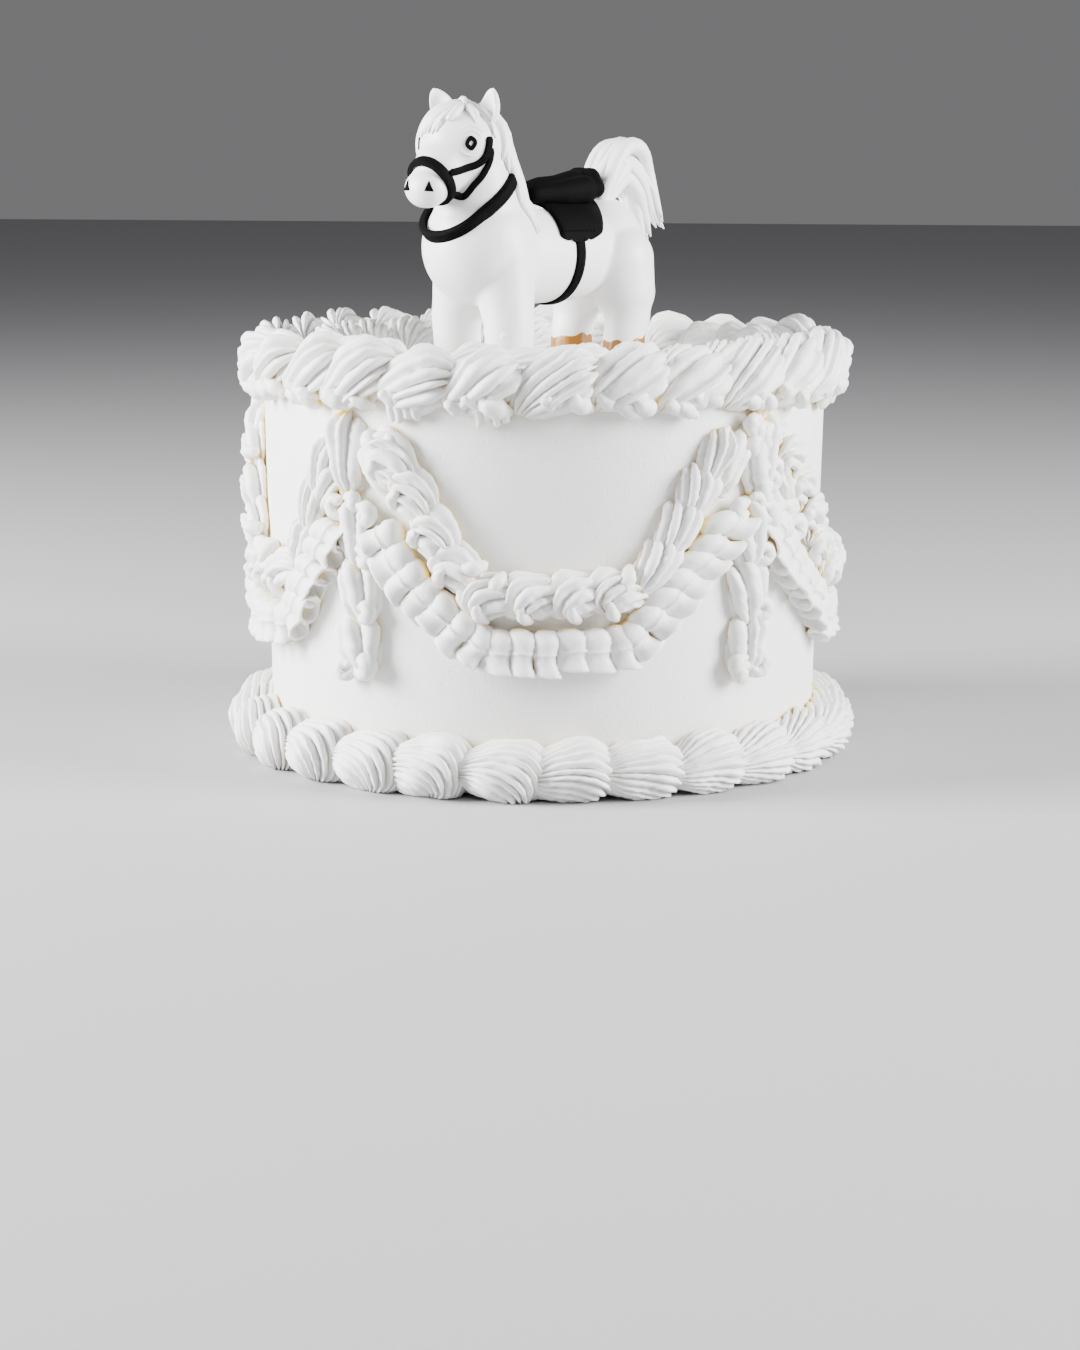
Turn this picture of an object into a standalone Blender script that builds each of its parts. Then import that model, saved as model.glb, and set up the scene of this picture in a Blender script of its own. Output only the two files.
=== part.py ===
# Round celebration cake with piped borders, swags and a pony figure.
# Z = 0 is the plane the cake stands on, and the cake's axis is X = Y = 0.
# Azimuth 0 is the front (-Y) and grows towards +X. Lengths below are in millimetres.
import math

import bmesh
import bpy

MM = 0.001
GAP = 0.35

# The iced cake
BODY_FOOT_R = 103.0
BODY_TOP_R = 105.5
BODY_H = 141.5
BODY_EDGE = 3.0
BODY_SEGMENTS = 60

# The shell borders: how many shells, and how far each ring reaches
BORDER_SHELLS = 27
FOOT_REACH = 16.0
FOOT_RISE = 14.0
FOOT_LIFT = 9.0
RIM_REACH = 13.2
RIM_HALF_H = 10.8
RIM_Z = 146.6
CROWN_R = 81.6
CROWN_HALF_W = 9.6
CROWN_H = 16.0

# The garland: vertical chains and the swags hung between them
CHAIN_AZIMUTHS = (-98.0, -38.0, 43.0, 135.0, 198.5)
CHAIN_SHELLS = ((133.0, 104.0, 12.5), (102.0, 76.0, 8.5), (76.0, 57.0, 8.0), (57.0, 36.0, 8.5))
CHAIN_PROUD = 10.0
SWAG_LOW = 72.5
SWAG_RISE = 48.0
SWAG_HALF_W = 8.4
SWAG_PROUD = 10.5
SWAG_SHELL_PITCH = 14.5
FRILL_LOW = 54.0
FRILL_RISE = 35.0
FRILL_STEEPEN = 20.0
FRILL_LEAN = 8.0
FRILL_HALF_W = 8.2
FRILL_PROUD = 7.0
FRILL_PITCH = 10.2
FRILL_BELOW = 21.5
FRILL_EASE = 3.0
SWAG_INSET = 7.4
FRILL_INSET = 5.6

# The pony: where it stands, which way it faces, and the turn of its head
PONY_X = -1.0
PONY_Y = 12.0
PONY_YAW = math.radians(45.0)
HEAD_YAW = math.radians(50.0)
STRAP = 1.5
WHITE = (0.86, 0.85, 0.82)
BLACK = (0.012, 0.011, 0.012)
HOOF_BROWN = (0.50, 0.22, 0.03)
SKULL = (42.0, 0.0, 225.0)
FACE_LONG = 23.0
FACE_DROP = 14.0
HOOF_H = 9.2
COLLAR = ((36.5, 0.0, 202.5), (0.348, 0.0, 0.937), 4.4, 26.0)


def clear_scene():
    for obj in list(bpy.data.objects):
        bpy.data.objects.remove(obj, do_unlink=True)


def paint(name, colour, roughness):
    material = bpy.data.materials.new(name)
    material.use_nodes = True
    shader = material.node_tree.nodes["Principled BSDF"]
    shader.inputs["Base Color"].default_value = (*colour, 1.0)
    shader.inputs["Roughness"].default_value = roughness
    material.diffuse_color = (*colour, 1.0)
    return material


def solid(name, points, faces, colour=(0.86, 0.85, 0.82), roughness=0.6):
    """One closed mesh object, its points given in millimetres, facing out."""
    mesh = bpy.data.meshes.new(name)
    mesh.from_pydata([[value * MM for value in point] for point in points], [], faces)
    shape = bmesh.new()
    shape.from_mesh(mesh)
    bmesh.ops.recalc_face_normals(shape, faces=shape.faces)
    if shape.calc_volume(signed=True) < 0:
        bmesh.ops.reverse_faces(shape, faces=shape.faces)
    shape.to_mesh(mesh)
    shape.free()
    obj = bpy.data.objects.new(name, mesh)
    bpy.context.scene.collection.objects.link(obj)
    obj.data.materials.append(paint(name, colour, roughness))
    return obj


def skin(rings, closed):
    """Faces between rings of points, joined end to end or capped at both ends."""
    count = len(rings[0])
    points = [point for ring in rings for point in ring]
    faces = []
    for i in range(len(rings) if closed else len(rings) - 1):
        a = i * count
        b = (i + 1) % len(rings) * count
        for j in range(count):
            k = (j + 1) % count
            faces.append((a + j, a + k, b + k, b + j))
    if not closed:
        faces.append(tuple(range(count)))
        faces.append(tuple(range(len(points) - count, len(points))))
    return points, faces


def boolean(target, other, operation):
    """Applies one exact Boolean and removes the other object."""
    modifier = target.modifiers.new(operation, "BOOLEAN")
    modifier.operation = operation
    modifier.solver = "EXACT"
    modifier.object = other
    with bpy.context.temp_override(object=target):
        bpy.ops.object.modifier_apply(modifier=modifier.name)
    bpy.data.objects.remove(other, do_unlink=True)
    return target


def drop_scraps(obj):
    """Keeps the largest connected piece that a cut has left."""
    shape = bmesh.new()
    shape.from_mesh(obj.data)
    waiting = set(shape.faces)
    groups = []
    while waiting:
        group = {waiting.pop()}
        edge_of_group = list(group)
        while edge_of_group:
            face = edge_of_group.pop()
            for edge in face.edges:
                for other in edge.link_faces:
                    if other in waiting:
                        waiting.remove(other)
                        group.add(other)
                        edge_of_group.append(other)
        groups.append(group)
    largest = max(groups, key=lambda group: sum(face.calc_area() for face in group))
    scraps = [face for group in groups if group is not largest for face in group]
    bmesh.ops.delete(shape, geom=scraps, context="FACES")
    shape.to_mesh(obj.data)
    shape.free()


def unite(name, parts, colour=(0.86, 0.85, 0.82), roughness=0.6):
    first = parts[0]
    for other in parts[1:]:
        boolean(first, other, "UNION")
    first.name = name
    first.data.materials.clear()
    first.data.materials.append(paint(name, colour, roughness))
    return first


def at(azimuth, radius, height):
    """A point given by azimuth in degrees, distance from the axis and height."""
    turn = math.radians(azimuth)
    return (radius * math.sin(turn), -radius * math.cos(turn), height)


def wall(height):
    """The cake's radius at a height."""
    share = min(max(height / BODY_H, 0.0), 1.0)
    return BODY_FOOT_R + (BODY_TOP_R - BODY_FOOT_R) * share


def cake_body():
    profile = (
        (BODY_FOOT_R, 0.0),
        (wall(BODY_H - BODY_EDGE), BODY_H - BODY_EDGE),
        (BODY_TOP_R - 0.3 * BODY_EDGE, BODY_H - 0.3 * BODY_EDGE),
        (BODY_TOP_R - BODY_EDGE, BODY_H),
    )
    rings = [
        [at(360.0 * i / BODY_SEGMENTS, radius, height) for i in range(BODY_SEGMENTS)]
        for radius, height in profile
    ]
    points, faces = skin(rings, closed=False)
    solid("cake_body", points, faces)


# A piped shell starts as a narrow tail, swells, and ends where the next one covers it.
SHELL_STATIONS = ((0.0, 0.62), (0.35, 0.96), (0.85, 0.94))


def shell_ring(name, section):
    """A closed ring of shells, its cross-section given by a function of their size."""
    rings = []
    for shell in range(BORDER_SHELLS):
        for phase, size in SHELL_STATIONS:
            azimuth = 360.0 * (shell + phase) / BORDER_SHELLS
            rings.append([at(azimuth, radius, height) for radius, height in section(size)])
    points, faces = skin(rings, closed=True)
    solid(name, points, faces)


def ridge(index, depth):
    """Alternate points of a section lie on a ridge and in a groove of the star nozzle."""
    return 1.0 if index % 2 else 1.0 - depth


def foot_section(size):
    reach = FOOT_REACH * size
    rise = FOOT_RISE * size
    lift = FOOT_LIFT * size
    low = -math.asin(min(lift / rise, 1.0))
    points = [(wall(0.0) + GAP, 0.0)]
    steps = 7
    for i in range(steps):
        angle = low + (math.pi / 2 - low) * i / steps
        grow = 1.0 if i == 0 else ridge(i, 0.1)
        radius = wall(0.0) + 1.0 + reach * math.cos(angle) * grow
        points.append((radius, max(lift + rise * math.sin(angle) * grow, 0.0)))
    points.append((wall(lift + rise) + GAP, lift + rise))
    return points


def rim_section(size):
    """The border that hugs the cake's top edge, from the side wall over to the top."""
    reach = RIM_REACH * size
    half = RIM_HALF_H * (0.4 + 0.6 * size)
    top = BODY_H + GAP
    side = BODY_TOP_R + GAP
    points = [(side, top), (side, RIM_Z - half)]
    steps = 8
    for i in range(1, steps):
        angle = math.radians(-80.0 + 250.0 * i / steps)
        grow = ridge(i, 0.12)
        points.append((side + reach * math.cos(angle) * grow, RIM_Z + half * math.sin(angle) * grow))
    points.append((side - RIM_REACH, top))
    return points


def crown_section(size):
    """The inner row of domed shells that stands on the cake's top."""
    width = CROWN_HALF_W * size
    points = []
    steps = 6
    for i in range(steps + 1):
        angle = math.pi * i / steps
        grow = 1.0 if i in (0, steps) else ridge(i, 0.1)
        height = BODY_H + GAP + CROWN_H * size * math.sin(angle) * grow
        points.append((CROWN_R + width * math.cos(angle) * grow, height))
    return points


def ribbon(name, stations):
    """A strip of piping on the side wall.

    Each station is (azimuth, height, azimuth step, height step, section), and the section
    lists (across, proud) pairs, across the strip and out from the wall."""
    rings = []
    for azimuth, height, along, up, section in stations:
        length = math.hypot(along, up)
        across = (-up / length, along / length)
        ring = []
        for offset, proud in section:
            z = height + offset * across[1]
            turn = math.degrees(offset * across[0] / wall(z))
            ring.append(at(azimuth + turn, wall(z) + GAP + proud, z))
        rings.append(ring)
    points, faces = skin(rings, closed=False)
    return solid(name, points, faces)


def ridged_arc(half_width, proud):
    """Half an oval against the wall, with alternate ridges and grooves."""
    steps = 5
    section = []
    for i in range(steps + 1):
        angle = math.pi * i / steps
        grow = 1.0 if i in (0, steps) else ridge(i, 0.12)
        section.append((half_width * math.cos(angle) * grow, proud * math.sin(angle) * grow))
    section.append((0.0, 0.0))
    return section


def smooth(value):
    share = min(max(value, 0.0), 1.0)
    return share * share * (3.0 - 2.0 * share)


def swag_height(share):
    """Height of a swag's shells, share running from -1 to 1 between two chains."""
    return SWAG_LOW + SWAG_RISE * smooth((abs(share) - 0.3) / 0.6) + 3.0 * share * share


def frill_height(share):
    """Height of the frill: its own curve, eased into the one that runs under the shells."""
    square = share * share
    hang = FRILL_RISE * square + FRILL_STEEPEN * square * square
    own = FRILL_LOW + hang + FRILL_LEAN * share * (1.0 - square)
    under = swag_height(share) - FRILL_BELOW
    return -FRILL_EASE * math.log(math.exp(-own / FRILL_EASE) + math.exp(-under / FRILL_EASE))


def spaced(start, end, height_of, pitch):
    """Azimuths that cut a hanging curve into equal lengths near the pitch."""
    middle = (start + end) / 2
    half = (end - start) / 2
    fine = 240
    lengths = [0.0]
    last = None
    for i in range(fine + 1):
        share = -1.0 + 2.0 * i / fine
        point = (math.radians(half * share) * BODY_TOP_R, height_of(share))
        if last:
            lengths.append(lengths[-1] + math.hypot(point[0] - last[0], point[1] - last[1]))
        last = point
    count = max(round(lengths[-1] / pitch), 3)
    return middle, half, lengths, count, fine


def hanging(name, start, end, height_of, pitch, phases, section_of, inset):
    """A strip along a hanging curve, repeating its phases once per pitch."""
    middle, half, lengths, count, fine = spaced(start, end, height_of, pitch)
    reach = 1.0 - inset / half
    stations = []
    for unit_number in range(count):
        for phase, size in phases:
            wanted = lengths[-1] * (unit_number + phase) / count
            index = min(sum(1 for value in lengths if value < wanted), fine)
            share = (-1.0 + 2.0 * index / fine) * reach
            step = 0.01
            along = math.radians(half * 2 * step) * BODY_TOP_R
            up = height_of(share + step) - height_of(share - step)
            stations.append(
                (middle + half * share, height_of(share), along, up, section_of(size))
            )
    return ribbon(name, stations)


def frill_section(size):
    """A frill: thin where it tucks under the shells, and thick at its lower folds."""
    width = FRILL_HALF_W
    return (
        (0.8 * width, 0.0),
        (0.6 * width, 0.6 * FRILL_PROUD),
        (-0.5 * width, FRILL_PROUD * size),
        (-width * size, 0.8 * FRILL_PROUD * size),
        (-width * size, 0.0),
    )


def chain(name, azimuth, grow):
    """A vertical chain of shells, its top one the widest."""
    stations = []
    for top, low, width in CHAIN_SHELLS:
        for phase, size in ((0.02, 0.6), (0.4, 1.0), (0.92, 0.74)):
            height = top + (low - top) * phase
            section = ridged_arc(width * size + grow, CHAIN_PROUD * size + grow)
            stations.append((azimuth, height, 0.0, -1.0, section))
    return ribbon(name, stations)


def swag(name, start, end, grow, tail=0.66, middle=0.94):
    """A swag of shells hung between two chains, each shell narrow at its tail."""
    return hanging(
        name, start, end, swag_height, SWAG_SHELL_PITCH,
        ((0.0, tail), (0.3, middle), (0.7, 1.0)),
        lambda size: ridged_arc(SWAG_HALF_W * size + grow, SWAG_PROUD * size + grow),
        SWAG_INSET,
    )


def garland():
    """The chains, and between each two of them a swag of shells with a frill below it."""
    for number, azimuth in enumerate(CHAIN_AZIMUTHS, 1):
        chain(f"chain_{number}", azimuth, 0.0)
        after = CHAIN_AZIMUTHS[number % len(CHAIN_AZIMUTHS)]
        if after < azimuth:
            after += 360.0
        row = swag(f"swag_{number}", azimuth, after, 0.0)
        frill = hanging(
            f"frill_{number}", azimuth, after, frill_height, FRILL_PITCH,
            ((0.0, 0.72), (0.5, 1.0)), frill_section, FRILL_INSET,
        )
        for side in (azimuth, after):
            boolean(row, chain("cutter", side, GAP), "DIFFERENCE")
            boolean(frill, chain("cutter", side, GAP), "DIFFERENCE")
        boolean(frill, swag("cutter", azimuth, after, GAP, 1.0, 1.0), "DIFFERENCE")
        drop_scraps(row)
        drop_scraps(frill)


def pony_point(forward, left, height):
    """From the pony's own forward, left and up to the cake's frame."""
    x = PONY_X - forward * math.cos(PONY_YAW) + left * math.sin(PONY_YAW)
    y = PONY_Y - forward * math.sin(PONY_YAW) - left * math.cos(PONY_YAW)
    return (x, y, height)


def head_point(forward, left, up):
    """From the head's own frame, which starts at the skull's centre, to the pony's."""
    turn = HEAD_YAW - PONY_YAW
    return (
        SKULL[0] + forward * math.cos(turn) - left * math.sin(turn),
        SKULL[1] + forward * math.sin(turn) + left * math.cos(turn),
        SKULL[2] + up,
    )


def ball(centre, radii, around=12, rings=7):
    """An oval ball, its radii along the pony's forward, left and up."""
    points = []
    for i in range(1, rings):
        angle = math.pi * i / rings
        for j in range(around):
            turn = 2 * math.pi * j / around
            points.append(
                pony_point(
                    centre[0] + radii[0] * math.sin(angle) * math.cos(turn),
                    centre[1] + radii[1] * math.sin(angle) * math.sin(turn),
                    centre[2] + radii[2] * math.cos(angle),
                )
            )
    faces = []
    for i in range(rings - 2):
        for j in range(around):
            k = (j + 1) % around
            a = i * around
            faces.append((a + j, a + k, a + around + k, a + around + j))
    top = len(points)
    points.append(pony_point(centre[0], centre[1], centre[2] + radii[2]))
    points.append(pony_point(centre[0], centre[1], centre[2] - radii[2]))
    last = (rings - 2) * around
    for j in range(around):
        k = (j + 1) % around
        faces.append((top, k, j))
        faces.append((top + 1, last + j, last + k))
    return solid("ball", points, faces)


def difference(a, b):
    return tuple(p - q for p, q in zip(a, b))


def unit(vector):
    length = math.sqrt(sum(value * value for value in vector))
    return tuple(value / length for value in vector)


def cross(a, b):
    return (
        a[1] * b[2] - a[2] * b[1],
        a[2] * b[0] - a[0] * b[2],
        a[0] * b[1] - a[1] * b[0],
    )


def limb(path, around=10, flat=1.0, side=(0.0, 1.0, 0.0)):
    """A rounded limb through (forward, left, up, radius) stations, flattened if asked."""
    rings = []
    for i, (forward, left, up, radius) in enumerate(path):
        before = path[max(i - 1, 0)]
        after = path[min(i + 1, len(path) - 1)]
        along = unit(difference(after[:3], before[:3]))
        first = unit(cross(cross(along, side), along))
        second = unit(cross(along, first))
        ring = []
        for j in range(around):
            turn = 2 * math.pi * (j + 0.5) / around
            a = radius * math.cos(turn) * flat
            b = radius * math.sin(turn)
            ring.append(
                pony_point(
                    forward + a * first[0] + b * second[0],
                    left + a * first[1] + b * second[1],
                    up + a * first[2] + b * second[2],
                )
            )
        rings.append(ring)
    points, faces = skin(rings, closed=False)
    return solid("limb", points, faces)


def slab(centre, normal, thickness, reach):
    """A square plate that cuts a strap out of the pony's grown skin."""
    along = unit(normal)
    first = unit(cross(along, (0.3, 0.2, 0.9)))
    second = cross(along, first)
    points = []
    for side in (-thickness / 2, thickness / 2):
        for a, b in ((-1, -1), (1, -1), (1, 1), (-1, 1)):
            points.append(
                pony_point(
                    *(
                        centre[k] + side * along[k] + reach * (a * first[k] + b * second[k])
                        for k in range(3)
                    )
                )
            )
    faces = [(0, 1, 2, 3), (4, 5, 6, 7)]
    faces += [(i, (i + 1) % 4, 4 + (i + 1) % 4, 4 + i) for i in range(4)]
    return solid("slab", points, faces)


def leg(forward, left, hind, grow):
    """A short chubby leg down to the top of its hoof."""
    low = BODY_H + HOOF_H + 2 * GAP
    if hind:
        path = (
            (forward, 0.72 * left, 182.0, 13.5 + grow),
            (forward - 1.5, 0.86 * left, 170.0, 11.5 + grow),
            (forward - 1.0, left, 160.5, 8.2 + grow),
            (forward + 0.5, left, 155.0, 7.6 + grow),
            (forward + 0.5, left, low - grow, 7.6 + grow),
        )
    else:
        path = (
            (forward, 0.62 * left, 184.0, 13.0 + grow),
            (forward, 0.82 * left, 172.0, 10.8 + grow),
            (forward, left, 162.0, 8.4 + grow),
            (forward, left, low - grow, 8.0 + grow),
        )
    return limb(path)


def ear(side, grow):
    base = head_point(-2.0, 9.0 * side, 9.5)
    middle = head_point(-1.5, 12.0 * side, 14.5)
    tip = head_point(-1.0, 14.0 * side, 19.8 + grow)
    path = ((*base, 4.4 + grow), (*middle, 4.4 + grow), (*tip, 0.9 + grow))
    return limb(path, around=6, flat=0.7)


def pony_skin(grow):
    """The pony as modelled in sugar paste, its skin moved out by an allowance."""
    turn_face = head_point(FACE_LONG - 6.0, 0.0, -FACE_DROP * 0.8)
    parts = [
        ball((31.0, 0.0, 185.0), (20.0 + grow, 20.0 + grow, 20.5 + grow), 16, 9),
        ball((-30.0, 0.0, 187.0), (17.5 + grow, 17.5 + grow, 19.0 + grow), 14, 8),
        limb(
            (
                (34.0, 0.0, 185.0, 17.5 + grow),
                (14.0, 0.0, 184.5, 18.6 + grow),
                (-12.0, 0.0, 185.0, 18.4 + grow),
                (-32.0, 0.0, 187.0, 15.5 + grow),
            ),
            around=14,
        ),
        limb(
            (
                (30.0, 0.0, 186.0, 19.0 + grow),
                (35.0, 0.0, 206.0, 16.0 + grow),
                (39.0, 0.0, 224.0, 13.0 + grow),
            ),
            around=14,
        ),
        ball(SKULL, (15.6 + grow, 15.4 + grow, 15.0 + grow), 14, 8),
        limb(
            (
                (*head_point(0.0, 0.0, -1.0), 13.0 + grow),
                (*head_point(0.55 * FACE_LONG, 0.0, -0.5 * FACE_DROP), 10.4 + grow),
                (*turn_face, 8.4 + grow),
            ),
            around=12,
        ),
        ball(turn_face, (7.4 + grow, 8.4 + grow, 7.6 + grow), 12, 7),
        ear(1, grow),
        ear(-1, grow),
        leg(31.0, 14.0, False, grow),
        leg(31.0, -14.0, False, grow),
        leg(-31.0, 14.0, True, grow),
        leg(-31.0, -14.0, True, grow),
    ]
    return unite("pony_body", parts)


def band(outward, centre, normal, width, reach, keep=()):
    """The part of the skin, moved out by an allowance, that lies within a plate."""
    made = pony_skin(outward)
    boolean(made, slab(centre, normal, width, reach), "INTERSECT")
    for plate in keep:
        boolean(made, slab(*plate), "INTERSECT")
    return made


def strap(name, *plate):
    """A flat strap that lies on the skin where a plate of its width crosses it."""
    made = band(STRAP, *plate)
    boolean(made, pony_skin(GAP), "DIFFERENCE")
    return unite(name, [made], BLACK, 0.5)


def laid(name, part, colour, allowance=GAP):
    """Cuts a piece back to the skin that it lies on."""
    boolean(part, pony_skin(allowance), "DIFFERENCE")
    return unite(name, [part], colour, 0.5)


def head_way(forward, left, up):
    """A direction in the head's frame, turned into the pony's."""
    return difference(head_point(forward, left, up), SKULL)


def hooves():
    names = ("hoof_front_left", "hoof_front_right", "hoof_hind_left", "hoof_hind_right")
    places = ((31.0, 14.0), (31.0, -14.0), (-30.5, 14.0), (-30.5, -14.0))
    for name, (forward, left) in zip(names, places):
        low = BODY_H + GAP
        path = (
            (forward, left, low, 8.6),
            (forward, left, low + 0.5 * HOOF_H, 8.3),
            (forward, left, low + HOOF_H, 7.6),
        )
        unite(name, [limb(path, around=12)], HOOF_BROWN, 0.55)


def hair():
    """The mane down the left of the neck, the forelock between the ears, and the tail."""
    tail = (
        (-29.5, 0.0, 200.0, 5.4),
        (-32.5, 0.0, 212.0, 6.2),
        (-40.0, 0.0, 221.5, 6.2),
        (-50.0, 0.0, 219.0, 6.4),
        (-56.5, 0.0, 208.0, 7.2),
        (-58.5, 0.0, 196.0, 6.2),
        (-59.5, 0.0, 184.0, 2.0),
    )
    laid("pony_tail", limb(tail, around=12), WHITE)
    mane = (
        (33.0, 2.0, 239.0, 4.0),
        (26.0, 6.0, 230.0, 6.0),
        (21.0, 10.0, 217.0, 6.5),
        (19.0, 14.5, 205.0, 5.2),
        (20.0, 19.0, 194.0, 1.6),
    )
    mane = laid("pony_mane", limb(mane, around=10), WHITE)
    centre, normal, width, reach = COLLAR
    boolean(mane, band(STRAP + GAP, centre, normal, width + 2 * GAP, reach), "DIFFERENCE")
    laid("pony_forelock", ball(head_point(4.0, 0.0, 13.5), (8.5, 7.5, 4.6), 12, 7), WHITE)


def tack():
    """The black saddle, its cloth and girth, the breast collar and the bridle."""
    strap(
        "saddle_cloth", (-0.5, 0.0, 200.0), (1.0, 0.0, 0.0), 25.0, 60.0,
        [((0.0, 0.0, 214.0), (0.0, 0.0, 1.0), 50.0, 60.0)],
    )
    seat = (
        (15.5, 0.0, 207.5, 3.2),
        (7.0, 0.0, 208.5, 4.6),
        (-8.0, 0.0, 210.0, 6.2),
        (-17.5, 0.0, 210.8, 6.6),
        (-22.5, 0.0, 210.0, 4.8),
    )
    laid("saddle_seat", limb(seat, around=12, flat=1.6), BLACK, STRAP + GAP)
    strap(
        "girth", (-1.0, 0.0, 180.0), (1.0, 0.0, 0.0), 4.0, 40.0,
        [((0.0, 0.0, 163.0), (0.0, 0.0, 1.0), 51.0, 60.0)],
    )
    strap("breast_collar", *COLLAR)
    strap(
        "noseband", head_point(11.5, 0.0, -7.0), head_way(1.0, 0.0, -0.6), 3.4, 13.0,
    )
    for side, name in ((1, "bridle_left"), (-1, "bridle_right")):
        keep = [
            (head_point(2.2, 0.0, 0.0), head_way(1.0, 0.0, -0.15), 13.0, 60.0),
            (head_point(0.0, 30.0 * side, 0.0), head_way(0.0, 1.0, 0.0), 50.0, 60.0),
        ]
        upper = strap(
            "upper", head_point(3.0, 0.0, -1.0), head_way(0.55, 0.0, 0.83), 3.0, 40.0, keep,
        )
        lower = strap(
            "lower", head_point(3.0, 0.0, -5.0), head_way(0.68, 0.0, 0.73), 3.0, 40.0, keep,
        )
        unite(name, [upper, lower], BLACK, 0.5)
        eye = ball(head_point(11.0, 11.0 * side, 1.0), (2.4, 2.4, 2.4), 8, 6)
        laid("eye_left" if side > 0 else "eye_right", eye, BLACK)


def main():
    clear_scene()
    cake_body()
    shell_ring("foot_border", foot_section)
    shell_ring("rim_border", rim_section)
    shell_ring("crown_border", crown_section)
    garland()
    pony_skin(0.0)
    hooves()
    hair()
    tack()


main()
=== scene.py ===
# %% [markdown]
# # A round cake with piped borders, swags and a pony
# The frame holds the imported solids. Each step below models one kind of piece, as a
# pastry cook or a sugar modeller would make it, and lets it stand for the plain solids.

# %% Load the frame
import math

import bmesh
import bpy
import numpy as np
from mathutils import Euler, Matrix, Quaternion, Vector
from mathutils.bvhtree import BVHTree


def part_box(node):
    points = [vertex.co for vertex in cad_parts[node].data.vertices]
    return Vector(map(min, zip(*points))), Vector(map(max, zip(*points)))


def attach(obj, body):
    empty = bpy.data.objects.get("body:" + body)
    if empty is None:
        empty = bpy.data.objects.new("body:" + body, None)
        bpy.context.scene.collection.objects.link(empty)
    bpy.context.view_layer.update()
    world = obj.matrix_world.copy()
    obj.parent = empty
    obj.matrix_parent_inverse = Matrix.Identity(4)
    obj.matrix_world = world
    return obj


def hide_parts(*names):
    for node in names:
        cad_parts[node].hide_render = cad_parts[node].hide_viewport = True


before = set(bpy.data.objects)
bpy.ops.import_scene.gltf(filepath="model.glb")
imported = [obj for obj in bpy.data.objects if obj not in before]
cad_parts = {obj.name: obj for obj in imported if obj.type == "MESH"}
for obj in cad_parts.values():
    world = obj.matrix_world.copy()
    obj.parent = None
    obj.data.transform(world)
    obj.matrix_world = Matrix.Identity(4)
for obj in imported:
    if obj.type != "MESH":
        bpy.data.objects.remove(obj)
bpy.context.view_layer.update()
MM = 0.001

# %% [markdown]
# ## Sizes that the pieces share
# All lengths are in millimetres. The azimuth is 0 at the front and grows towards +X.
# The body's sizes are read from its solid, and the rest is set here as the piping shows it.

# %% Shared sizes
body_high = np.array(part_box("cake_body")[1]) / MM
BODY_H = float(body_high[2])
TOP_R = float(body_high[0])
FOOT_R = TOP_R - 2.5
SHELL_COUNT = 27
CHAINS = (-98.0, -38.0, 43.0, 135.0, 198.5)


def wall(height):
    """The cake's radius at a height."""
    return FOOT_R + (TOP_R - FOOT_R) * np.clip(height / BODY_H, 0.0, 1.0)


def unit(vector):
    vector = np.asarray(vector, float)
    return vector / np.linalg.norm(vector)


def outward(azimuth):
    turn = math.radians(azimuth)
    return np.array((math.sin(turn), -math.cos(turn), 0.0))


def rightward(azimuth):
    turn = math.radians(azimuth)
    return np.array((math.cos(turn), math.sin(turn), 0.0))


UP = np.array((0.0, 0.0, 1.0))
print("body", round(BODY_H, 1), "high,", round(2 * TOP_R, 1), "across the top")

# %% [markdown]
# ## Camera, floor and light
# The camera stands where the photograph was taken from: a little above the cake, looking
# down by about ten degrees, with a long lens. Two large soft lights stand left and right,
# and a weak one in front, because the real sides are brighter than the front.

# %% Camera, floor and light
CAMERA_BACK = 1118.7
CAMERA_UP = 233.5
CAMERA_PITCH = 10.5777
CAMERA_ROLL = 0.3632
CAMERA_LENS = 78.868
CAMERA_SHIFT = -0.00184
STUDIO_GREY = (0.42, 0.42, 0.43, 1.0)
STUDIO_STRENGTH = 0.42
FLOOR_SIZE = 12.0
FLOOR_GREY = (0.36, 0.36, 0.37, 1.0)
# Each light's name, place, target and size in metres, and its power in watts.
LIGHTS = (
    ("soft_right", (1.25, -0.35, 0.6), (0.0, 0.0, 0.08), (0.6, 0.8), 80.0),
    ("soft_left", (-1.25, -0.2, 0.55), (0.0, 0.0, 0.08), (0.6, 0.8), 105.0),
    ("soft_front", (-0.2, -1.6, 1.3), (0.0, 0.0, 0.1), (1.0, 0.7), 9.0),
)

camera_data = bpy.data.cameras.new("camera")
camera = bpy.data.objects.new("camera", camera_data)
bpy.context.scene.collection.objects.link(camera)
camera_data.sensor_width = 36.0
camera_data.lens = CAMERA_LENS
camera_data.shift_x = CAMERA_SHIFT
camera_data.clip_start = 0.05
camera.rotation_mode = "QUATERNION"
tilt = math.radians(90.0 - CAMERA_PITCH)
camera.rotation_quaternion = Euler((tilt, 0.0, 0.0)).to_quaternion() @ Quaternion(
    (0.0, 0.0, 1.0), math.radians(CAMERA_ROLL)
)
camera.location = (0.0, -CAMERA_BACK * MM, CAMERA_UP * MM)
bpy.context.scene.camera = camera


def area_light(name, place, target, size, power):
    data = bpy.data.lights.new(name, "AREA")
    data.shape = "RECTANGLE"
    data.size, data.size_y = size
    data.energy = power
    light = bpy.data.objects.new(name, data)
    bpy.context.scene.collection.objects.link(light)
    light.location = place
    way = np.array(target) - np.array(place)
    light.rotation_mode = "QUATERNION"
    light.rotation_quaternion = Vector(way).to_track_quat("-Z", "Y")


for light in LIGHTS:
    area_light(*light)

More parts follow.
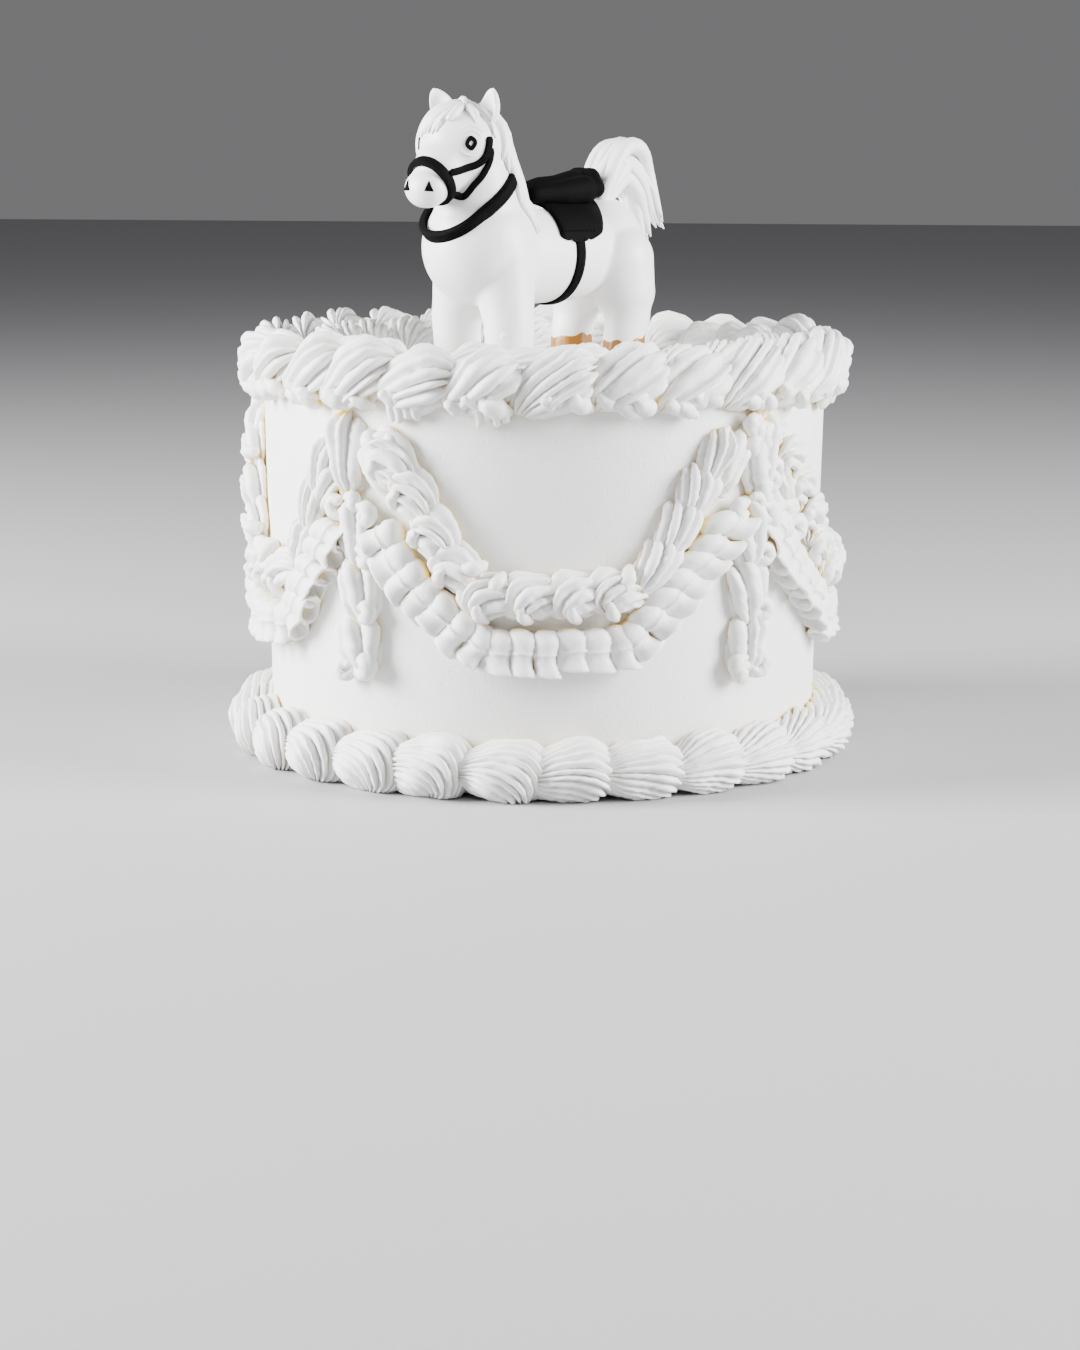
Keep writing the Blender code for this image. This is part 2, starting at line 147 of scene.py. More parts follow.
world = bpy.data.worlds.new("studio")
bpy.context.scene.world = world
world.use_nodes = True
backdrop = world.node_tree.nodes["Background"]
backdrop.inputs["Color"].default_value = STUDIO_GREY
backdrop.inputs["Strength"].default_value = STUDIO_STRENGTH

bpy.ops.mesh.primitive_plane_add(size=FLOOR_SIZE, location=(0.0, 0.0, 0.0))
floor = bpy.context.object
floor.name = "floor"
floor_material = bpy.data.materials.new("floor_paper")
floor_material.use_nodes = True
floor_shader = floor_material.node_tree.nodes["Principled BSDF"]
floor_shader.inputs["Base Color"].default_value = FLOOR_GREY
floor_shader.inputs["Roughness"].default_value = 0.7
floor.data.materials.append(floor_material)
print("camera lens", CAMERA_LENS)

# %% [markdown]
# ## Finishes
# Cream is nearly neutral white, soft and matt. Its surface has tiny pores from air bubbles.
# In the deepest gaps a warm yellow is painted into its colour as painted shade, for light
# that has passed through much cream. Each piped piece stores how deep a point lies in an
# attribute called crease, which this reads.

# %% Finishes
CREAM = (0.80, 0.80, 0.79)
WHITE_PASTE = (0.80, 0.80, 0.80)
BLACK = (0.0004, 0.0003, 0.0004)
GOLDEN_BROWN = (0.26, 0.10, 0.0008)
# Painted shade: a warm yellow mixed into the piped cream in its deepest gaps, faded in between two
# levels of the crease attribute.
SHADE_YELLOW = (0.95, 0.69, 0.20, 1.0)
SHADE_FROM, SHADE_TO = 0.5, 0.85
DARKER = 0.96
RELIEF_DEPTH = 0.0004


def add_node(tree, kind, inputs, **settings):
    """Adds a node, each of its inputs given as a value or as the socket that feeds it."""
    made = tree.nodes.new(kind)
    for name, value in settings.items():
        setattr(made, name, value)
    for name, value in inputs.items():
        if isinstance(value, bpy.types.NodeSocket):
            tree.links.new(value, made.inputs[name])
        else:
            made.inputs[name].default_value = value
    return made


def pore_group():
    """A shared relief of fine pores and grain, for anything made of whipped cream or paste."""
    group = bpy.data.node_groups.new("fine_pores", "ShaderNodeTree")
    for name in ("Grain Scale", "Pore Scale", "Pore Share"):
        group.interface.new_socket(name, in_out="INPUT", socket_type="NodeSocketFloat")
    group.interface.new_socket("Height", in_out="OUTPUT", socket_type="NodeSocketFloat")
    given = add_node(group, "NodeGroupInput", {}).outputs
    where = add_node(group, "ShaderNodeTexCoord", {}).outputs["Object"]
    grain = add_node(group, "ShaderNodeTexNoise", {
        "Vector": where, "Scale": given["Grain Scale"], "Detail": 4.0,
    })
    pores = add_node(group, "ShaderNodeTexVoronoi", {
        "Vector": where, "Scale": given["Pore Scale"],
    })
    near = add_node(group, "ShaderNodeMapRange", {
        "Value": pores.outputs["Distance"], "From Min": 0.0, "From Max": given["Pore Share"],
        "To Min": -1.0, "To Max": 0.0,
    })
    both = add_node(group, "ShaderNodeMath", {
        0: grain.outputs["Fac"], 1: near.outputs["Result"],
    }, operation="ADD")
    add_node(group, "NodeGroupOutput", {"Height": both.outputs["Value"]})
    return group


PORES = pore_group()


def finish(name, colour, roughness, relief, grain_scale, pore_scale, pore_share):
    """A material with the shared relief and a slight mottle in its colour."""
    material = bpy.data.materials.new(name)
    material.use_nodes = True
    tree = material.node_tree
    shader = tree.nodes["Principled BSDF"]
    shader.inputs["Roughness"].default_value = roughness
    where = add_node(tree, "ShaderNodeTexCoord", {}).outputs["Object"]
    mottle = add_node(tree, "ShaderNodeTexNoise", {"Vector": where, "Scale": 60.0, "Detail": 3.0})
    tone = add_node(tree, "ShaderNodeMix", {
        "Factor": mottle.outputs["Fac"], "A": (*[value * DARKER for value in colour], 1.0),
        "B": (*colour, 1.0),
    }, data_type="RGBA")
    tree.links.new(tone.outputs["Result"], shader.inputs["Base Color"])
    surface = add_node(tree, "ShaderNodeGroup", {
        "Grain Scale": grain_scale, "Pore Scale": pore_scale, "Pore Share": pore_share,
    }, node_tree=PORES)
    bump = add_node(tree, "ShaderNodeBump", {
        "Strength": relief, "Distance": RELIEF_DEPTH, "Height": surface.outputs["Height"],
    })
    tree.links.new(bump.outputs["Normal"], shader.inputs["Normal"])
    return material, tone, shader


# After the colour stand the roughness, the relief, how fine its grain and its pores are, and
# how large the pores.
SIDE_CREAM, _, side_shader = finish("side_cream", CREAM, 0.55, 0.35, 900.0, 260.0, 0.2)
PIPED_CREAM, piped_tone, piped_shader = finish(
    "piped_cream", CREAM, 0.5, 0.3, 1400.0, 420.0, 0.16
)


def paint_crease_shade(material, tone, shader):
    """Mixes a painted warm-yellow shade into the cream where the crease attribute is high."""
    tree = material.node_tree
    crease = add_node(tree, "ShaderNodeAttribute", {}, attribute_name="crease")
    share = add_node(tree, "ShaderNodeMapRange", {
        "Value": crease.outputs["Fac"], "From Min": SHADE_FROM, "From Max": SHADE_TO,
    })
    gap_shade = add_node(tree, "ShaderNodeMix", {
        "Factor": share.outputs["Result"], "A": tone.outputs["Result"], "B": SHADE_YELLOW,
    }, data_type="RGBA")
    tree.links.new(gap_shade.outputs["Result"], shader.inputs["Base Color"])


# The piped cream gets the painted warm shade in its deep gaps.
paint_crease_shade(PIPED_CREAM, piped_tone, piped_shader)
for cream_shader in (side_shader, piped_shader):
    cream_shader.inputs["Subsurface Weight"].default_value = 0.15
    cream_shader.inputs["Subsurface Radius"].default_value = (1.0, 0.6, 0.3)
    cream_shader.inputs["Subsurface Scale"].default_value = 0.001
SUGAR_PASTE, _, _ = finish("sugar_paste", WHITE_PASTE, 0.42, 0.12, 500.0, 200.0, 0.05)
BLACK_PASTE, _, black_shader = finish("black_paste", BLACK, 0.8, 0.4, 700.0, 300.0, 0.12)
black_shader.inputs["Specular IOR Level"].default_value = 0.07
HOOF_BROWN, _, _ = finish("hoof_brown", GOLDEN_BROWN, 0.4, 0.9, 300.0, 160.0, 0.3)
print("finishes ready")

# %% [markdown]
# ## The iced cake
# The cake is one tall drum covered in smooth cream, a little wider at the top than at the
# foot. It starts as a cylinder, its top ring is widened, and its top edge is rounded.

# %% The iced cake
EDGE_ROUND = 3.0
SHARP = math.radians(40)


def take(*pieces):
    """Selects the pieces alone, and makes the first one active."""
    bpy.ops.object.select_all(action="DESELECT")
    for piece in pieces:
        piece.select_set(True)
    bpy.context.view_layer.objects.active = pieces[0]


def settle(piece, name, material, node):
    """Names a finished piece, gives it its finish, and puts it in the frame."""
    piece.name = name
    piece.data.name = name
    piece.data.materials.clear()
    piece.data.materials.append(material)
    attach(piece, "root")
    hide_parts(node)
    print(name, len(piece.data.polygons), "faces")


def cake_side():
    bpy.ops.mesh.primitive_cylinder_add(
        vertices=256, radius=FOOT_R * MM, depth=BODY_H * MM, location=(0, 0, BODY_H * MM / 2)
    )
    bpy.ops.object.transform_apply(location=True, rotation=True, scale=True)
    piece = bpy.context.object
    shape = bmesh.new()
    shape.from_mesh(piece.data)
    for corner in shape.verts:
        if corner.co.z > BODY_H * MM / 2:
            corner.co.x *= TOP_R / FOOT_R
            corner.co.y *= TOP_R / FOOT_R
    shape.to_mesh(piece.data)
    shape.free()
    bevel = piece.modifiers.new("round_edge", "BEVEL")
    bevel.width = EDGE_ROUND * MM
    bevel.segments = 5
    bevel.limit_method = "ANGLE"
    bevel.angle_limit = SHARP
    bpy.ops.object.modifier_apply(modifier="round_edge")
    bpy.ops.object.shade_smooth_by_angle(angle=SHARP)
    settle(piece, "cake_side", SIDE_CREAM, "cake_body")


cake_side()

# %% [markdown]
# ## How a piped shell is shaped
# A star nozzle leaves a ball of cream with sharp ridges. The ridges leave the spot where the
# nozzle started, swell round the head of the shell, and run together again at its tail. On
# a ball these are the circles through two points, the head's pole and the tail's. No
# primitive has such lines, so the ball is worked out ring by ring, then stretched into an
# oval, narrowed towards the tail, and grooved between the ridges.

# %% The shell of a star nozzle
CREST_POWER = 2.6
SWELL_POWER = 0.45
TAPER_POWER = 1.4
LUMP_SHARE = 0.04


def ridge_lines(head, tail, turns, steps):
    """Points on a unit ball, one row for each turn, from the head's pole to the tail's.

    Each turn gives a plane through both poles. It cuts the ball in a circle, and the ridge
    runs along its arc on the side that the turn points to.
    """
    head = unit(head)
    tail = unit(tail)
    middle = (head + tail) / 2
    chord = unit(tail - head)
    half = np.linalg.norm(tail - head) / 2
    side = middle - chord * (middle @ chord)
    side = unit(side) if np.linalg.norm(side) > 1e-3 else unit(np.cross(chord, (0.3, 0.8, 0.5)))
    other = np.cross(chord, side)
    toward = -np.cos(turns)[:, None] * side + np.sin(turns)[:, None] * other
    normal = np.cross(chord, toward)
    centre = (normal @ middle)[:, None] * normal
    radius = np.sqrt(np.maximum(1 - (centre**2).sum(1), 1e-9))
    lift = ((head - centre) * toward).sum(1)
    first = np.arctan2(lift, -half)
    first = np.where(first < 0, first + 2 * np.pi, first)
    last = np.pi - first
    angle = first[:, None] + (last - first)[:, None] * steps[None, :]
    return (
        centre[:, None, :]
        + (radius[:, None] * np.cos(angle))[..., None] * chord
        + (radius[:, None] * np.sin(angle))[..., None] * toward[:, None, :]
    )


def tube_faces(count, rows):
    """Faces of a tube of rings, its ends closed by the two points after the last ring."""
    index = np.arange(count * rows).reshape(count, rows)
    after = np.roll(index, -1, axis=0)
    quads = np.stack([index[:, :-1], after[:, :-1], after[:, 1:], index[:, 1:]], axis=-1)
    first = np.full(count, count * rows)
    caps = np.concatenate([
        np.stack([first, after[:, 0], index[:, 0]], axis=-1),
        np.stack([first + 1, index[:, -1], after[:, -1]], axis=-1),
    ])
    return quads.reshape(-1, 4), caps


def even_turns(head, tail, size, widths, fine):
    """Turns that give the ridges their widths where the shell is thickest."""
    trial = np.linspace(0, 2 * np.pi, 721)
    middle = ridge_lines(head, tail, trial, np.array([0.5]))[:, 0] * size
    length = np.concatenate([[0.0], np.cumsum(np.linalg.norm(np.diff(middle, axis=0), axis=1))])
    edges = np.concatenate([[0.0], np.cumsum(widths)]) / widths.sum() * length[-1]
    place_in = np.arange(len(widths) * fine) / fine
    return np.interp(np.interp(place_in, np.arange(len(edges)), edges), length, trial)


def piped(
    rng, place, along, out, size, head, tail, *, ridges, depth, taper, fine, rows, flare, uneven
):
    """One shell: its points and faces, its own axes being along, across and out.

    The ridges run from the head's pole to the tail's. Each has as many points across as fine
    says, and the cream narrows by the taper, and swells by the flare over the head.
    """
    along = unit(along)
    out = unit(out - along * (out @ along))
    across = np.cross(out, along)
    size = np.asarray(size, float)
    widths = rng.uniform(1 - uneven, 1 + uneven, ridges)
    turns = even_turns(head, tail, size, widths, fine)
    place_in = np.arange(ridges * fine) / fine
    count = ridges * fine
    steps = (np.arange(rows) + 0.5) / rows
    ball = ridge_lines(head, tail, turns, steps)
    share = place_in % 1.0
    crest = 1.0 - np.abs(2 * share - 1) ** CREST_POWER
    tall = rng.uniform(0.8, 1.15, ridges)[place_in.astype(int) % ridges]
    swell = np.sin(np.pi * steps) ** SWELL_POWER
    normal = ball / size
    normal /= np.linalg.norm(normal, axis=2, keepdims=True)
    rise = depth * (0.4 * (tall - 1) * crest - (1 - crest))[:, None] * swell[None, :]
    ahead = np.clip((ball[..., 0] - 0.2) / 0.55, 0, 1)
    rise = rise + flare * (crest * tall)[:, None] * ahead**2 * (3 - 2 * ahead)
    wave = rng.uniform(0, 6.28, 6)
    lump = (
        np.sin(ball[..., 0] * 4.1 + wave[0]) * np.sin(ball[..., 1] * 3.7 + wave[1])
        + np.sin(ball[..., 2] * 4.4 + wave[2]) * np.sin(ball[..., 0] * 6.3 + wave[3])
    )
    points = ball * size + (rise + LUMP_SHARE * size.mean() * lump)[..., None] * normal
    local = np.concatenate([points.reshape(-1, 3), [unit(head) * size, unit(tail) * size]])
    local[:, 1:] *= 1 - taper * np.clip((1 - local[:, :1] / size[0]) / 2, 0, 1) ** TAPER_POWER
    world = place + local[:, :1] * along + local[:, 1:2] * across + local[:, 2:3] * out
    return (world, *tube_faces(count, rows))


# %% [markdown]
# ## A single bead of cream
# Where the ridges of a shell part, each one is a bead of its own: a soft finger that swells
# and ends in a round or pointed tip. A bead is a round section carried along a smooth path
# through a few chosen points, with its thickness given at the same points.

# %% A bead


def smooth_path(points, count):
    """A Catmull-Rom curve through the points."""
    points = np.asarray(points, float)
    padded = np.concatenate([[2 * points[0] - points[1]], points, [2 * points[-1] - points[-2]]])
    spans = len(points) - 1
    where = np.linspace(0, spans - 1e-6, count)
    span = where.astype(int)
    t = (where - span)[:, None]
    a, b, c, d = (padded[span + i] for i in range(4))
    return 0.5 * (
        2 * b + (c - a) * t + (2 * a - 5 * b + 4 * c - d) * t**2 + (3 * b - 3 * c + d - a) * t**3
    )


def bead(path, radii, sides, count):
    """A finger of cream along a path, round at both ends."""
    middle = smooth_path(path, count)
    thick = smooth_path(np.asarray(radii, float)[:, None], count)[:, 0]
    way = np.gradient(middle, axis=0)
    way /= np.linalg.norm(way, axis=1, keepdims=True)
    caps = np.radians((72.0, 45.0, 20.0))
    middle = np.concatenate([
        middle[0] - np.sin(caps)[:, None] * way[0] * thick[0],
        middle,
        middle[-1] + np.sin(caps[::-1])[:, None] * way[-1] * thick[-1],
    ])
    thick = np.concatenate([np.cos(caps) * thick[0], thick, np.cos(caps[::-1]) * thick[-1]])
    way = np.concatenate([[way[0]] * 3, way, [way[-1]] * 3])
    # The section is carried on without a twist, by keeping its side square to the path.
    side = [np.cross(way[0], (0.31, 0.52, 0.8))]
    for step in way:
        side.append(unit(side[-1] - step * (side[-1] @ step)))
    side = np.array(side[1:])
    other = np.cross(way, side)
    turn = 2 * np.pi * np.arange(sides) / sides
    ring = (
        np.cos(turn)[:, None, None] * side[None] + np.sin(turn)[:, None, None] * other[None]
    ) * thick[None, :, None] + middle[None]
    first = middle[0] - way[0] * thick[0] * 0.3
    last = middle[-1] + way[-1] * thick[-1] * 0.3
    return (np.concatenate([ring.reshape(-1, 3), [first, last]]), *tube_faces(sides, len(middle)))


def spot(azimuth, right, up, proud, radius):
    """A point beside a place on the wall: millimetres right, up and out from it."""
    turn = azimuth + math.degrees(right / radius)
    return outward(turn) * (radius + proud) + UP * up


# %% [markdown]
# ## Gathering shells into one piece
# All shells of one border are joined into one mesh, because on the cake their cream has
# run together. Every piece whose shape no primitive has is made here from its points.

# %% Gathering shells
PIPING = {}


def wobble(points):
    """Small waves a few millimetres long, because no hand pipes quite evenly."""
    x, y, z = points.T
    return points + 0.2 * np.stack([
        np.sin(1.1 * y + 1.7 * z + 0.6 * np.sin(0.9 * x)),
        np.sin(1.3 * z + 1.5 * x + 0.6 * np.sin(0.8 * y)),
        np.sin(1.2 * x + 1.6 * y + 0.6 * np.sin(1.1 * z)),
    ], axis=1)


def one_mesh(parts):
    """Many parts as one, each being its points and its arrays of faces."""
    points, faces, start = [], [], 0
    for some_points, *groups in parts:
        points.append(some_points)
        for group in groups:
            faces += (np.asarray(group) + start).tolist()
        start += len(some_points)
    return np.concatenate(points), faces


def new_piece(name, points, faces, angle=None):
    """A piece of points in millimetres, with its faces turned outwards and shaded smooth."""
    mesh = bpy.data.meshes.new(name)
    mesh.from_pydata((points * MM).tolist(), [], faces)
    piece = bpy.data.objects.new(name, mesh)
    bpy.context.scene.collection.objects.link(piece)
    shape = bmesh.new()
    shape.from_mesh(mesh)
    bmesh.ops.recalc_face_normals(shape, faces=shape.faces)
    shape.to_mesh(mesh)
    shape.free()
    take(piece)
    if angle is None:
        bpy.ops.object.shade_smooth()
    else:
        bpy.ops.object.shade_smooth_by_angle(angle=math.radians(angle))
    return piece


def gather(name, parts, node, lowest=-math.inf):
    """Joins shells and beads into one piece for the node, pressed flat where it stands."""
    points, faces = one_mesh(parts)
    points[:, 2] = np.maximum(points[:, 2], lowest)
    piece = new_piece(name, wobble(points), faces)
    settle(piece, name, PIPED_CREAM, node)
    PIPING[name] = piece


# %% [markdown]
# ## The shell border round the foot
# Each shell was drawn from the left. Its ridges sweep up and to the right, bulge over the
# head, and curl back to a point low at the front, so they look like a row of letters C.

# %% Foot border
# A shell's half length, half width and half height. Each one made differs a little.
FOOT_SHELL = (16.8, 13.4, 14.2)
FOOT_OUT, FOOT_UP = 4.2, 9.8


def foot_border():
    rng = np.random.default_rng(11)
    parts = []
    for i in range(SHELL_COUNT):
        azimuth = (i + 0.35) * 360.0 / SHELL_COUNT + rng.uniform(-0.8, 0.8)
        out = outward(azimuth)
        place = out * (wall(9.0) + FOOT_OUT) + UP * FOOT_UP
        size = np.array(FOOT_SHELL) * rng.uniform(0.96, 1.05, 3)
        # The nozzle was turned bit by bit, so the head's pole moves round from the left side.
        turned = float(np.clip((((azimuth + 180) % 360) - 180 + 25) / 50, 0, 1))
        head = np.array((0.1, -0.93, 0.35)) * (1 - turned) + np.array((0.72, -0.5, -0.5)) * turned
        head = head + rng.uniform(-0.12, 0.12, 3)
        tail = (-0.93, -0.05 + rng.uniform(-0.15, 0.15), 0.28)
        along = rightward(azimuth) + UP * rng.uniform(0.0, 0.16)
        parts.append(piped(
            rng, place, along, out, size, head, tail,
            ridges=24, depth=2.8, taper=0.42, fine=5, rows=24, flare=1.7, uneven=0.3,
        ))
    gather("foot_shells", parts, "foot_border", 0.2)


foot_border()

# %% [markdown]
# ## The two rows of shells round the top
# A larger nozzle made the row that hugs the top edge. Its shells lie like the strands of a
# rope, each with a few thick ridges that part into fingers at the upper right. Below, the
# cream was smeared and left small stubs. A finer nozzle made the domed row inside it.

# %% Top borders
RIM_SHELL = (16.0, 12.4, 10.8)
RIM_UP = BODY_H + 4.2
CROWN_SHELL = (12.8, 9.8, 12.8)
CROWN_R = 82.5
CROWN_UP = BODY_H + 4.5


def stub(azimuth, first, last, radii, sides, count):
    """A short bead on the cake's top edge, between two places given as right, up and proud."""
    a, b = (spot(azimuth, *place, TOP_R) for place in (first, last))
    return bead([a, (a + b) / 2, b], radii, sides, count)


def rope_shell(rng, azimuth):
    """One shell of the rim, with its smeared stubs and now and then a few fingers below."""
    lean = math.radians(rng.uniform(14, 34))
    axis = rightward(azimuth) * math.cos(lean) + UP * math.sin(lean)
    facing = unit(outward(azimuth) * 0.9 + UP * 0.34)
    middle = spot(azimuth, rng.uniform(-0.8, 0.8), RIM_UP + rng.uniform(-0.8, 0.8), 0.2, TOP_R)
    size = np.array(RIM_SHELL) * rng.uniform(0.92, 1.06, 3)
    head = (0.8, -0.05 + rng.uniform(-0.15, 0.15), -0.55)
    tail = (-0.72, -0.55 + rng.uniform(-0.1, 0.1), -0.38)
    parts = [piped(
        rng, middle, axis, facing, size, head, tail, ridges=int(rng.integers(10, 14)),
        depth=3.1, taper=0.34, fine=7, rows=26, flare=1.6, uneven=0.5,
    )]
    for _ in range(int(rng.integers(4, 7))):
        right = rng.uniform(-9, 9)
        up = BODY_H - rng.uniform(0.5, 5.0)
        lump = rng.uniform(2.2, 4.0)
        first = (right - 1.5, up + 1.0, 4.6 + rng.uniform(0, 2.6))
        last = (right + rng.uniform(1, 4), up - rng.uniform(0.5, 2.0), 2.6 + rng.uniform(0, 2.0))
        parts.append(stub(azimuth, first, last, [lump * 0.8, lump, lump * 0.6], 10, 6))
    if rng.random() < 0.45:
        right = rng.uniform(-8, 4)
        for _ in range(int(rng.integers(2, 5))):
            long = rng.uniform(1.5, 4.0)
            first = (right, BODY_H - 4.0, 4.4)
            last = (right + rng.uniform(-0.5, 0.8), BODY_H - 5.5 - long, 2.6)
            parts.append(stub(azimuth, first, last, [1.9, 1.8, 1.6], 9, 5))
            right += rng.uniform(2.6, 3.2)
    return parts


def rim_border():
    rng = np.random.default_rng(23)
    parts = []
    for i in range(SHELL_COUNT):
        parts += rope_shell(rng, (i + 0.1) * 360.0 / SHELL_COUNT + rng.uniform(-0.8, 0.8))
    gather("rim_shells", parts, "rim_border")


def crown_border():
    rng = np.random.default_rng(37)
    parts = []
    for i in range(SHELL_COUNT):
        azimuth = (i + 0.6) * 360.0 / SHELL_COUNT + rng.uniform(-1.0, 1.0)
        place = outward(azimuth) * CROWN_R + UP * CROWN_UP
        size = np.array(CROWN_SHELL) * rng.uniform(0.93, 1.07, 3)
        head = (0.5, 0.72, -0.2 + rng.uniform(-0.15, 0.15))
        tail = (-0.85, -0.45, 0.1)
        parts.append(piped(
            rng, place, rightward(azimuth), UP, size, head, tail,
            ridges=20, depth=1.9, taper=0.3, fine=5, rows=24, flare=0.6, uneven=0.25,
        ))
    gather("crown_shells", parts, "crown_border", BODY_H + 0.1)


rim_border()
crown_border()

# %% [markdown]
# ## Where the garland hangs
# Two curves hang between each two chains: one for the row of shells, flat at its lowest
# and steep near the chains, and one for the frill under it. Both are given by a share
# that runs from -1 at the left chain to 1 at the right one. Places along them are then
# spaced evenly by length.

# %% Hanging curves
SWAG_LOW = 72.5
SWAG_RISE = 48.0
FRILL_LOW = 54.0
FRILL_BELOW = 21.5
FRILL_EASE = 3.0


def swag_height(share):
    """Flat in the middle, then an eased climb, so that it hangs like a heavy garland."""
    rise = np.clip((np.abs(share) - 0.3) / 0.6, 0.0, 1.0)
    return SWAG_LOW + SWAG_RISE * rise**2 * (3 - 2 * rise) + 3.0 * share**2


def frill_height(share):
    """A curve of its own that stays below the swag, the two being eased into each other."""
    own = FRILL_LOW + 35.0 * share**2 + 20.0 * share**4 + 8.0 * share * (1 - share**2)
    under = swag_height(share) - FRILL_BELOW
    return -FRILL_EASE * np.log(np.exp(-own / FRILL_EASE) + np.exp(-under / FRILL_EASE))


def hung(start, end, height_of, pitch, inset):
    """Evenly spaced places on a hanging curve: azimuth, height, share and direction."""
    half = (end - start) / 2
    reach = 1.0 - inset / half
    share = np.linspace(-reach, reach, 400)
    right = np.radians(half * share) * TOP_R
    height = height_of(share)
    step = np.hypot(np.diff(right), np.diff(height))
    length = np.concatenate([[0.0], np.cumsum(step)])
    count = int(round(length[-1] / pitch))
    wanted = (np.arange(count) + 0.5) * length[-1] / count
    at_share = np.interp(wanted, length, share)
    slope = np.arctan2(np.diff(height), np.diff(right))
    slope = np.interp(wanted, (length[1:] + length[:-1]) / 2, slope)
    middle = (start + end) / 2
    return [
        (middle + half * one, float(height_of(np.array(one))), one, way)
        for one, way in zip(at_share, slope)
    ]


def along_curve(azimuth, way):
    """The direction of a hanging curve at an azimuth, way being its slope there."""
    return rightward(azimuth) * math.cos(way) + UP * math.sin(way)


SPANS = list(zip(CHAINS, (*CHAINS[1:], CHAINS[0] + 360.0)))
print("spans", SPANS)

# %% [markdown]
# ## The swags of shells
# The shells left of the middle curl their ridges round a point low on their left, with
# small hooks below and a lobe or two above. Those that climb to the right are longer, and
# fan out from a pointed tail.

# %% Swags
SWAG_PITCH, SWAG_INSET = 15.0, 6.5
CLIMB_FROM = 0.34
CLIMBING_SHELL = (12.2, 9.0, 8.8)
CURLED_SHELL = (11.6, 9.6, 9.6)


def swag_shell(rng, azimuth, height, share, way):
    tangent = along_curve(azimuth, way)
    out = outward(azimuth)
    above = np.cross(out, tangent)
    base = out * wall(height) + UP * height

    def lobe(places, radii):
        """A short bead through places given along the curve, above it and out from the wall."""
        path = [base + tangent * a + above * b + out * c for a, b, c in places]
        return bead(path, radii, 10, 8)

    if share >= CLIMB_FROM:
        size = np.array(CLIMBING_SHELL) * rng.uniform(0.9, 1.08, 3)
        head = (0.8, 0.2 + rng.uniform(-0.1, 0.1), -0.5)
        tail = (-0.97, -0.12, 0.15)
        turned = tangent + above * rng.uniform(-0.05, 0.2)
        return [piped(
            rng, base + out * 1.8, turned, out, size, head, tail,
            ridges=11, depth=2.8, taper=0.5, fine=7, rows=24, flare=1.6, uneven=0.45,
        )]
    size = np.array(CURLED_SHELL) * rng.uniform(0.92, 1.08, 3)
    head = (0.22 + rng.uniform(-0.12, 0.12), 0.88, 0.26)
    tail = (-0.93, 0.2 + rng.uniform(-0.12, 0.12), 0.05)
    turned = -tangent + above * rng.uniform(-0.1, 0.25)
    parts = [piped(
        rng, base + out * 1.6, turned, out, size, head, tail,
        ridges=10, depth=3.4, taper=0.3, fine=7, rows=26, flare=1.3, uneven=0.5,
    )]
    at = -2.5 + rng.uniform(-1.0, 1.0)
    tip = -8.0 - rng.uniform(0, 1.0)
    hook = ((at - 1.5, -4.0, 8.4), (at - 0.8, -6.6, 7.0), (at + 1.2, tip, 4.8))
    parts.append(lobe(hook, [1.7, 2.3, 1.7]))
    if rng.random() < 0.6:
        at = 2.5 + rng.uniform(-1.5, 1.5)
        tip = 6.8 + rng.uniform(0, 1.0)
        crest = ((at - 1.5, 2.5, 7.4), (at, 5.2, 6.6), (at + 1.0, tip, 4.2))
        parts.append(lobe(crest, [2.0, 2.8, 2.2]))
    return parts


for number, (start, end) in enumerate(SPANS, 1):
    rng = np.random.default_rng(50 + number)
    parts = []
    for azimuth, height, share, way in hung(start, end, swag_height, SWAG_PITCH, SWAG_INSET):
        parts += swag_shell(rng, azimuth, height + rng.uniform(-0.8, 0.8), share, way)
    gather(f"swag_shells_{number}", parts, f"swag_{number}")

# %% [markdown]
# ## The frill of bells
# A petal nozzle was waggled along, so the ribbon folded into a row of bells: each is round
# at its top, has a thin raised line half way down, and flares to an open lip. Further right
# the folds lean over like roof tiles. Each bell is a profile turned once round, with its
# hollow, which is then bent and leant.

# %% Frills
FRILL_PITCH, FRILL_INSET = 8.5, 4.5
BELL_LONG = 17.0
BELL_SIDES = 22
# The bell's profile, from its closed top over the lip and into the hollow: how far down, how wide.
BELL = np.array((
    (0.0, 0.6), (0.5, 2.9), (1.6, 4.5), (3.6, 5.5), (5.8, 5.5), (7.6, 4.95), (8.3, 5.15),
    (8.7, 5.35), (9.2, 5.0), (9.7, 4.6), (11.6, 4.55), (13.6, 4.95), (15.2, 5.5), (16.2, 5.75),
    (16.9, 5.4), (16.9, 4.7), (15.9, 4.2), (13.2, 3.4), (10.8, 2.4), (10.2, 0.6),
))


